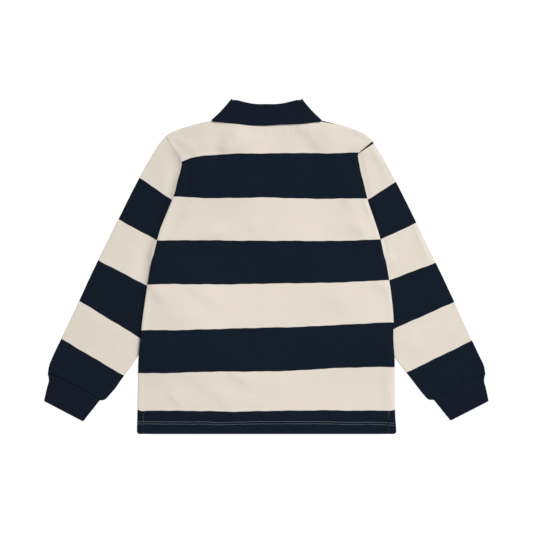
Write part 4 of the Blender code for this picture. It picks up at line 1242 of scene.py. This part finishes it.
def offset_line(points, distance):
    """A line of plan points moved sideways by an even distance, to its left."""
    runs = np.gradient(points, axis=0)
    runs = runs / np.linalg.norm(runs, axis=1)[:, None]
    return points + np.stack([-runs[:, 1], runs[:, 0]], axis=-1) * distance


def front_neck_line(count):
    """Right half of the front neckline, from the side of the neck to the collar's end."""
    columns = np.array(NECK_COLUMNS + (COLLAR_END,))
    turn = np.linspace(0.0, math.pi / 2, NECK_SAMPLES)
    power = 2.0 / FRONT_NECK_POWER
    curve = np.stack([NECK_HALF * np.cos(turn) ** power,
                      NECK_SIDE_Y - (NECK_SIDE_Y - FRONT_NECK_Y) * np.sin(turn) ** power], axis=-1)
    marks = np.interp(-columns, -curve[:, 0], run_of(curve))
    places = np.linspace(marks[0], marks[-1], count)
    points = places_on(curve, places)
    shares = np.interp(places, marks, np.linspace(0.0, 1.0, len(columns)))
    return points, shares


def collar_stations(side):
    """Stations of half the collar, from the centre of the back round to the front end."""
    back_x = np.linspace(0.0, NECK_HALF, COLLAR_STATIONS)
    back_neck = np.stack([back_x, neckline_y(CENTRE_X + back_x, False)], axis=-1)
    back_neck = offset_line(back_neck, SEAM_GAP)
    front_neck, front_shares = front_neck_line(COLLAR_STATIONS)
    front_neck = offset_line(front_neck, -SEAM_GAP)
    side_neck = (back_neck[-1] + front_neck[0]) / 2 + np.array(SIDE_NECK_IN)
    folds = along(COLLAR_FOLD, back_x / NECK_HALF)
    edges = along(COLLAR_EDGE, back_x / NECK_HALF)
    edges[:, 1] += through(COLLAR_WAVE_X, COLLAR_WAVE, side * edges[:, 0])
    stations = [(*spot, FACE_UP) for spot in zip(back_neck[:-1], folds[:-1], edges[:-1])]
    for turn in np.linspace(FACE_UP, FACE_DOWN, COLLAR_TURNS):
        stations.append((side_neck, folds[-1], edges[-1], turn))
    front_folds = along(COLLAR_FRONT_FOLD, front_shares)
    front_edges = along(COLLAR_FRONT_EDGE, front_shares)
    stations += [(*spot, FACE_DOWN) for spot in zip(front_neck[1:], front_folds[1:], front_edges[1:])]
    return stations


def collar_section(neck, fold, edge, turn, out):
    """One section of the collar: up the stand, over the fold and down the leaf."""
    angle = math.radians(turn)
    rise = np.array([out[0] * math.cos(angle), out[1] * math.cos(angle), math.sin(angle)])
    middle = np.array([0.0, 0.0, COLLAR_MID_Z])
    up_stand = np.append((fold - neck) / np.linalg.norm(fold - neck), 0.0)
    radius = (LEAF_RISE - STAND_RISE) / 2
    drawn = np.append(-out, 0.0) * COLLAR_SIDE_IN * max(math.cos(angle), 0.0)
    points = []
    for step in np.linspace(0.0, 1.0, STAND_POINTS):
        points.append(np.append(neck + (fold - neck) * step, 0.0) + middle + rise * STAND_RISE)
    for step in range(1, FOLD_STEPS):
        bend = math.pi * step / FOLD_STEPS
        outward = up_stand * radius * math.sin(bend)
        level = rise * (STAND_RISE + radius * (1.0 - math.cos(bend)))
        points.append(np.append(fold, 0.0) + middle + outward + level)
    for step in np.linspace(0.0, 1.0, LEAF_POINTS):
        level = rise * LEAF_RISE + drawn * arch(step)
        points.append(np.append(fold + (edge - fold) * step, 0.0) + middle + level)
    return points


def skins_of(grid, wall):
    """Both skins of a sheet whose wall lies evenly on both sides of a grid."""
    normal = np.cross(np.gradient(grid, axis=0), np.gradient(grid, axis=1))
    normal /= np.linalg.norm(normal, axis=-1)[..., None]
    return grid + normal * wall / 2, grid - normal * wall / 2


def collar(finish):
    """The folded rib collar, one piece from its left front end round the back to its right."""
    halves = []
    for side in (-1.0, 1.0):
        stations = collar_stations(side)
        _, fold, edge, _ = stations[COLLAR_STATIONS]
        run = (edge - fold) / np.linalg.norm(edge - fold)
        out = np.array([-run[1], run[0]])
        sections = np.array([collar_section(*station, out) for station in stations])
        sections[..., 0] *= side
        halves.append(sections)
    grid = np.concatenate([halves[0][::-1][:-1], halves[1]]).swapaxes(0, 1)
    grid[..., 0] += CENTRE_X
    across = np.cumsum(np.linalg.norm(np.diff(grid, axis=1, prepend=grid[:, :1]), axis=-1).mean(axis=0))
    up = np.cumsum(np.linalg.norm(np.diff(grid, axis=0, prepend=grid[:1]), axis=-1).mean(axis=1))
    u, v = np.meshgrid(across, up)
    cloth = np.dstack([u, v, np.full_like(u, COLLAR_LAYER)])
    upper, lower = skins_of(grid, COLLAR_RIB)
    return shell("rib_collar", upper, lower, cloth, np.ones_like(u), finish)


def placket_strip(name, half, rise, finish):
    """One of the two strips of the neck opening."""
    across = np.linspace(CENTRE_X - half, CENTRE_X + half, STRIP_COLUMNS)
    x = np.broadcast_to(across, (STRIP_ROWS, STRIP_COLUMNS)).copy()
    share = np.linspace(0.0, 1.0, STRIP_ROWS)[:, None]
    y = neckline_y(x, True) * (1.0 - share) + STRIP_FOOT_Y * share
    middle = front_z(x, y) + rise
    cloth = np.dstack([x, y, np.full_like(x, STRIP_LAYER + rise)])
    return shell(name, np.dstack([x, y, middle + JERSEY / 2]), np.dstack([x, y, middle - JERSEY / 2]),
                 cloth, -np.ones_like(x), finish)


def button(number, y, finish):
    """A button with a raised rim and four holes, face down on the table."""
    profile = np.array(BUTTON_PROFILE)
    turns = np.linspace(0.0, 2.0 * math.pi, BUTTON_SIDES, endpoint=False)
    rings = [[(r * math.cos(a), r * math.sin(a), z) for a in turns] for r, z in profile]
    points = np.array(rings).reshape(-1, 3) + (CENTRE_X, y, 0.0)
    here = np.arange(len(profile) * BUTTON_SIDES).reshape(len(profile), BUTTON_SIDES)
    near, far = here[:-1], here[1:]
    quads = np.stack([near, np.roll(near, -1, axis=1), np.roll(far, -1, axis=1), far], axis=-1)
    faces = quads.reshape(-1, 4).tolist() + [here[0][::-1].tolist(), here[-1].tolist()]
    grain = np.zeros_like(points)
    made = new_piece(f"sewn_button_{number}", points, faces, grain, np.zeros(len(points)), finish)
    cut_holes(made, y)
    return made


def cut_holes(made, y):
    """Cuts the holes through a button's middle."""
    cutter = bmesh.new()
    for turn in range(BUTTON_HOLES):
        angle = 2.0 * math.pi * (turn + 0.5) / BUTTON_HOLES
        aside = Vector((math.cos(angle), math.sin(angle), 0.0)) * BUTTON_HOLE_OUT
        spot = Vector((CENTRE_X, y, BUTTON_THICK / 2)) + aside + Vector(SHIFT)
        bmesh.ops.create_cone(cutter, cap_ends=True, segments=BUTTON_HOLE_SIDES, radius1=BUTTON_HOLE * MM,
                              radius2=BUTTON_HOLE * MM, depth=BUTTON_THICK * 3 * MM,
                              matrix=Matrix.Translation(spot * MM))
    mesh = bpy.data.meshes.new("button_holes")
    cutter.to_mesh(mesh)
    cutter.free()
    tool = add_object("button_holes", mesh)
    cut = made.modifiers.new("holes", "BOOLEAN")
    cut.operation = "DIFFERENCE"
    cut.object = tool
    graph = bpy.context.evaluated_depsgraph_get()
    result = bpy.data.meshes.new_from_object(made.evaluated_get(graph))
    made.modifiers.clear()
    made.data = result
    bpy.data.objects.remove(tool)


def stitches(name, spots, headings, facing, finish):
    """Short stitches along a seam, facing up or down, as one piece of small rounded bars."""
    turns = np.linspace(0.0, 2.0 * math.pi, THREAD_SIDES, endpoint=False)
    circle = np.stack([np.zeros_like(turns), np.cos(turns), np.sin(turns)], axis=-1)
    radii = THREAD_RADIUS * np.sqrt(np.clip(1.0 - np.abs(STITCH_SHARES) ** STITCH_TAPER, STITCH_TIP, 1.0))
    bar = np.array([circle * radius + (share * STITCH_LENGTH / 2, 0.0, -STITCH_SAG * share ** 2)
                    for share, radius in zip(STITCH_SHARES, radii)])
    count = bar.shape[0] * bar.shape[1]
    here = np.arange(count).reshape(bar.shape[:2])
    near, far = here[:-1], here[1:]
    quads = np.stack([near, far, np.roll(far, -1, axis=1), np.roll(near, -1, axis=1)], axis=-1)
    single = quads.reshape(-1, 4).tolist() + [here[0].tolist(), here[-1][::-1].tolist()]
    points = []
    faces = []
    for number, (spot, heading) in enumerate(zip(spots, headings)):
        turned = bar.reshape(-1, 3) @ np.array(Matrix.Rotation(-heading, 3, "Z"))
        turned[:, 2] *= facing
        points.append(turned + spot)
        faces += [[corner + number * count for corner in face[::facing]] for face in single]
    points = np.concatenate(points)
    return new_piece(name, points, faces, np.zeros_like(points), np.zeros(len(points)), finish)


def hem_stitches(name, top, finish):
    """The hem's twin lines on the back or the front panel, and on the back the side seams' ends."""
    spots = []
    headings = []
    if top:
        y = np.arange(HEM_Y + SIDE_STITCH_FOOT, SIDE_STITCH_TOP_Y, STITCH_PITCH)
        for points, rise in zip(SIDE_SEAMS, SIDE_STITCH_RISES):
            x = edge_x(points, y)
            spots.append(np.stack([x, y, back_top(x, y) + rise], axis=-1))
            headings.append(np.full_like(x, math.pi / 2))
    x = np.arange(LEFT_EDGE[-2][1] + TWIN_STARTS_IN, RIGHT_EDGE[-2][1] - TWIN_ENDS_IN, STITCH_PITCH)
    for line_y in TWIN_Y:
        y = line_y - (twin_drop(x) if top else np.zeros_like(x))
        z = back_top(x, y) + THREAD_RISE if top else front_z(x, y) - JERSEY / 2 + TWIN_GROOVE - THREAD_RISE
        spots.append(np.stack([x, y, z], axis=-1))
        headings.append((twin_drop(x - 1.0) - twin_drop(x + 1.0)) / 2.0 if top else np.zeros_like(x))
    return stitches(name, np.concatenate(spots), np.concatenate(headings), 1 if top else -1, finish)


def combine(tree, operation, *values):
    """A node that does arithmetic with sockets or plain numbers."""
    node = tree.nodes.new("ShaderNodeMath")
    node.operation = operation
    for socket, value in zip(node.inputs, values):
        if isinstance(value, (int, float)):
            socket.default_value = value
        else:
            tree.links.new(value, socket)
    return node.outputs[0]


def attribute(tree, name):
    """The cloth's own coordinates or dye, as a shader reads them."""
    node = tree.nodes.new("ShaderNodeAttribute")
    node.attribute_name = name
    return node


def unevenness(tree, coordinates, pattern, middle=0.0):
    """Soft noise over the cloth round a middle value, from its scales and its amount."""
    scale_across, scale_along, amount = pattern
    place = tree.nodes.new("ShaderNodeCombineXYZ")
    for socket, value, scale in zip(place.inputs, coordinates, (scale_across, scale_along, LAYER_STEP)):
        tree.links.new(combine(tree, "MULTIPLY", value, scale), socket)
    made = tree.nodes.new("ShaderNodeTexNoise")
    made.inputs["Scale"].default_value = 1.0
    made.inputs["Detail"].default_value = 2.0
    tree.links.new(place.outputs[0], made.inputs["Vector"])
    return combine(tree, "MULTIPLY_ADD", made.outputs["Fac"], amount, middle - amount / 2)


def stitch_height(tree, u, v):
    """Relief of plain knit: columns of small slanting stitches."""
    wale = combine(tree, "DIVIDE", u, WALE)
    aside = combine(tree, "ABSOLUTE", combine(tree, "SUBTRACT", combine(tree, "FRACT", wale), 0.5))
    ply = combine(tree, "FRACT", combine(tree, "MULTIPLY", wale, 2.0))
    round_ply = combine(tree, "SINE", combine(tree, "MULTIPLY", ply, math.pi))
    slanted = combine(tree, "MULTIPLY", aside, STITCH_SLANT)
    slant = combine(tree, "ADD", combine(tree, "DIVIDE", v, COURSE), slanted)
    beat = combine(tree, "SINE", combine(tree, "MULTIPLY", slant, 2.0 * math.pi))
    beat = combine(tree, "MULTIPLY_ADD", beat, STITCH_BEAT, 1.0 - STITCH_BEAT)
    return combine(tree, "MULTIPLY", round_ply, beat)


def cloth_finish(name, cream, navy, rib_pitch):
    """Knitted cotton, dyed by the cloth's own stripes, with its stitches as fine relief."""
    made = bpy.data.materials.new(name)
    made.use_nodes = True
    tree = made.node_tree
    shader = tree.nodes["Principled BSDF"]
    shader.inputs["Roughness"].default_value = CLOTH_ROUGHNESS
    shader.inputs["Specular IOR Level"].default_value = CLOTH_SPECULAR
    shader.inputs["Sheen Weight"].default_value = CLOTH_SHEEN
    shader.inputs["Sheen Roughness"].default_value = CLOTH_SHEEN_ROUGHNESS
    split = tree.nodes.new("ShaderNodeSeparateXYZ")
    tree.links.new(attribute(tree, "cloth").outputs["Vector"], split.inputs[0])
    cloth = tuple(split.outputs)
    dye = attribute(tree, "dye").outputs["Fac"]
    jitter = unevenness(tree, cloth, EDGE_JITTER)
    edge = combine(tree, "DIVIDE", combine(tree, "ADD", dye, jitter), DYE_BLUR)
    share = tree.nodes.new("ShaderNodeClamp")
    tree.links.new(combine(tree, "ADD", edge, 0.5), share.inputs[0])
    colour = tree.nodes.new("ShaderNodeMix")
    colour.data_type = "RGBA"
    colour.inputs["A"].default_value = (*cream, 1.0)
    colour.inputs["B"].default_value = (*navy, 1.0)
    tree.links.new(share.outputs[0], colour.inputs["Factor"])
    shade = unevenness(tree, cloth, STREAKS, 1.0)
    dark = combine(tree, "MULTIPLY", unevenness(tree, cloth, NAVY_PATCHES), share.outputs[0])
    for part in (unevenness(tree, cloth, PATCHES), unevenness(tree, cloth, FLECKS), dark):
        shade = combine(tree, "ADD", shade, part)
    tinted = tree.nodes.new("ShaderNodeVectorMath")
    tinted.operation = "SCALE"
    tree.links.new(colour.outputs["Result"], tinted.inputs[0])
    tree.links.new(shade, tinted.inputs["Scale"])
    tree.links.new(tinted.outputs[0], shader.inputs["Base Color"])
    height = stitch_height(tree, cloth[0], cloth[1])
    if rib_pitch:
        turn = combine(tree, "MULTIPLY", cloth[0], 2.0 * math.pi / rib_pitch)
        height = combine(tree, "MULTIPLY_ADD", combine(tree, "SINE", turn), COLLAR_RIB_HEIGHT, height)
    bump = tree.nodes.new("ShaderNodeBump")
    bump.inputs["Strength"].default_value = 1.0
    bump.inputs["Distance"].default_value = KNIT_DEPTH * MM
    tree.links.new(height, bump.inputs["Height"])
    tree.links.new(bump.outputs[0], shader.inputs["Normal"])
    return made


def plain_finish(name, colour, roughness, specular):
    """An even finish of one colour."""
    made = bpy.data.materials.new(name)
    made.use_nodes = True
    shader = made.node_tree.nodes["Principled BSDF"]
    shader.inputs["Base Color"].default_value = (*colour, 1.0)
    shader.inputs["Roughness"].default_value = roughness
    shader.inputs["Specular IOR Level"].default_value = specular
    return made


def table_top():
    """The white table, far wider than the view."""
    mesh = bpy.data.meshes.new("table_top")
    corners = ((-1, -1), (1, -1), (1, 1), (-1, 1))
    mesh.from_pydata([(x * TABLE_HALF, y * TABLE_HALF, 0) for x, y in corners], [], [(0, 1, 2, 3)])
    finish = plain_finish("table_white", (TABLE_SHADE,) * 3, roughness=1.0, specular=0.0)
    shader = finish.node_tree.nodes["Principled BSDF"]
    shader.inputs["Emission Color"].default_value = (1.0, 1.0, 1.0, 1.0)
    shader.inputs["Emission Strength"].default_value = TABLE_GLOW
    mesh.materials.append(finish)
    made = add_object("table_top", mesh)
    made.location.z = -TABLE_DROP * MM


def look_down():
    """The camera, straight above the middle of the picture."""
    data = bpy.data.cameras.new("overhead")
    data.lens = LENS
    data.sensor_width = SENSOR
    data.clip_end = VIEW_END
    made = add_object("overhead", data)
    made.location = (VIEW_X * MM, VIEW_Y * MM, VIEW_Z * MM + VIEW_WIDTH * LENS / SENSOR)
    bpy.context.scene.camera = made


def light_up():
    """Even white light, a lamp over the middle, and soft light from beyond the right shoulder."""
    world = bpy.data.worlds.new("studio")
    world.use_nodes = True
    sky = world.node_tree.nodes["Background"]
    sky.inputs["Color"].default_value = (1.0, 1.0, 1.0, 1.0)
    sky.inputs["Strength"].default_value = SKY_STRENGTH
    bpy.context.scene.world = world
    data = bpy.data.lights.new("window", "SUN")
    data.angle = math.radians(SUN_ANGLE)
    data.energy = SUN_STRENGTH
    sun = add_object("window", data)
    sun.rotation_mode = "QUATERNION"
    sun.rotation_quaternion = Vector(SUN_FROM).to_track_quat("Z", "Y")
    data = bpy.data.lights.new("lamp", "AREA")
    data.size = LAMP_SIZE
    data.energy = LAMP_POWER
    lamp = add_object("lamp", data)
    lamp.location = LAMP_AT
    lamp.visible_camera = False
    bpy.context.scene.view_settings.view_transform = "Standard"
    bpy.context.scene.view_settings.look = "None"


def present(piece, node):
    """Puts a piece with the shirt's body in the place of its solid, and hides the solid."""
    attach(piece, "root")
    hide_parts(node)


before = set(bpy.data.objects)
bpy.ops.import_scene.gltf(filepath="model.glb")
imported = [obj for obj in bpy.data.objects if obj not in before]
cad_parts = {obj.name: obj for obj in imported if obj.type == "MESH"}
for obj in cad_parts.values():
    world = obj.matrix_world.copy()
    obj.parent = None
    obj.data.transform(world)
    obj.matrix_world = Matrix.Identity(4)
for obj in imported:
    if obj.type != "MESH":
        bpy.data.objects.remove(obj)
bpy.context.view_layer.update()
low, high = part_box("button_1")
SHIFT = np.array([(low.x + high.x) / 2 / MM - CENTRE_X, (low.y + high.y) / 2 / MM - BUTTON_Y[0], 0.0])

striped = cloth_finish("striped_jersey_knit", CREAM, NAVY, 0.0)
cream = cloth_finish("cream_jersey_knit", CREAM, CREAM, 0.0)
ribbed = cloth_finish("navy_rib_knit", NAVY_RIB, NAVY_RIB, 0.0)
collar_knit = cloth_finish("navy_collar_knit", NAVY_RIB, NAVY_RIB, COLLAR_RIB_PITCH)
thread = plain_finish("hem_thread", THREAD_COLOUR, roughness=0.7, specular=0.3)
shell_white = plain_finish("button_cream", BUTTON_COLOUR, roughness=0.35, specular=0.5)

back_seam = hem_stitches("hem_stitches_back", True, thread)
front_seam = hem_stitches("hem_stitches_front", False, thread)
for piece in (back_seam, front_seam):
    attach(piece, "root")
back = back_panel(striped)
front = front_panel(striped)
present(front, "front")
present(back, "back")
for name in SLEEVES:
    present(sleeve(name, striped), f"sleeve_{name}")
    present(cuff(name, ribbed), f"cuff_{name}")
present(collar(collar_knit), "collar")
present(placket_strip("placket_strip_outer", STRIP_HALF, 0.0, cream), "placket_outer")
present(placket_strip("placket_strip_inner", UNDER_STRIP_HALF, JERSEY + LAYER_GAP, cream),
        "placket_inner")
for number, y in enumerate(BUTTON_Y, start=1):
    present(button(number, y, shell_white), f"button_{number}")

table_top()
look_down()
light_up()
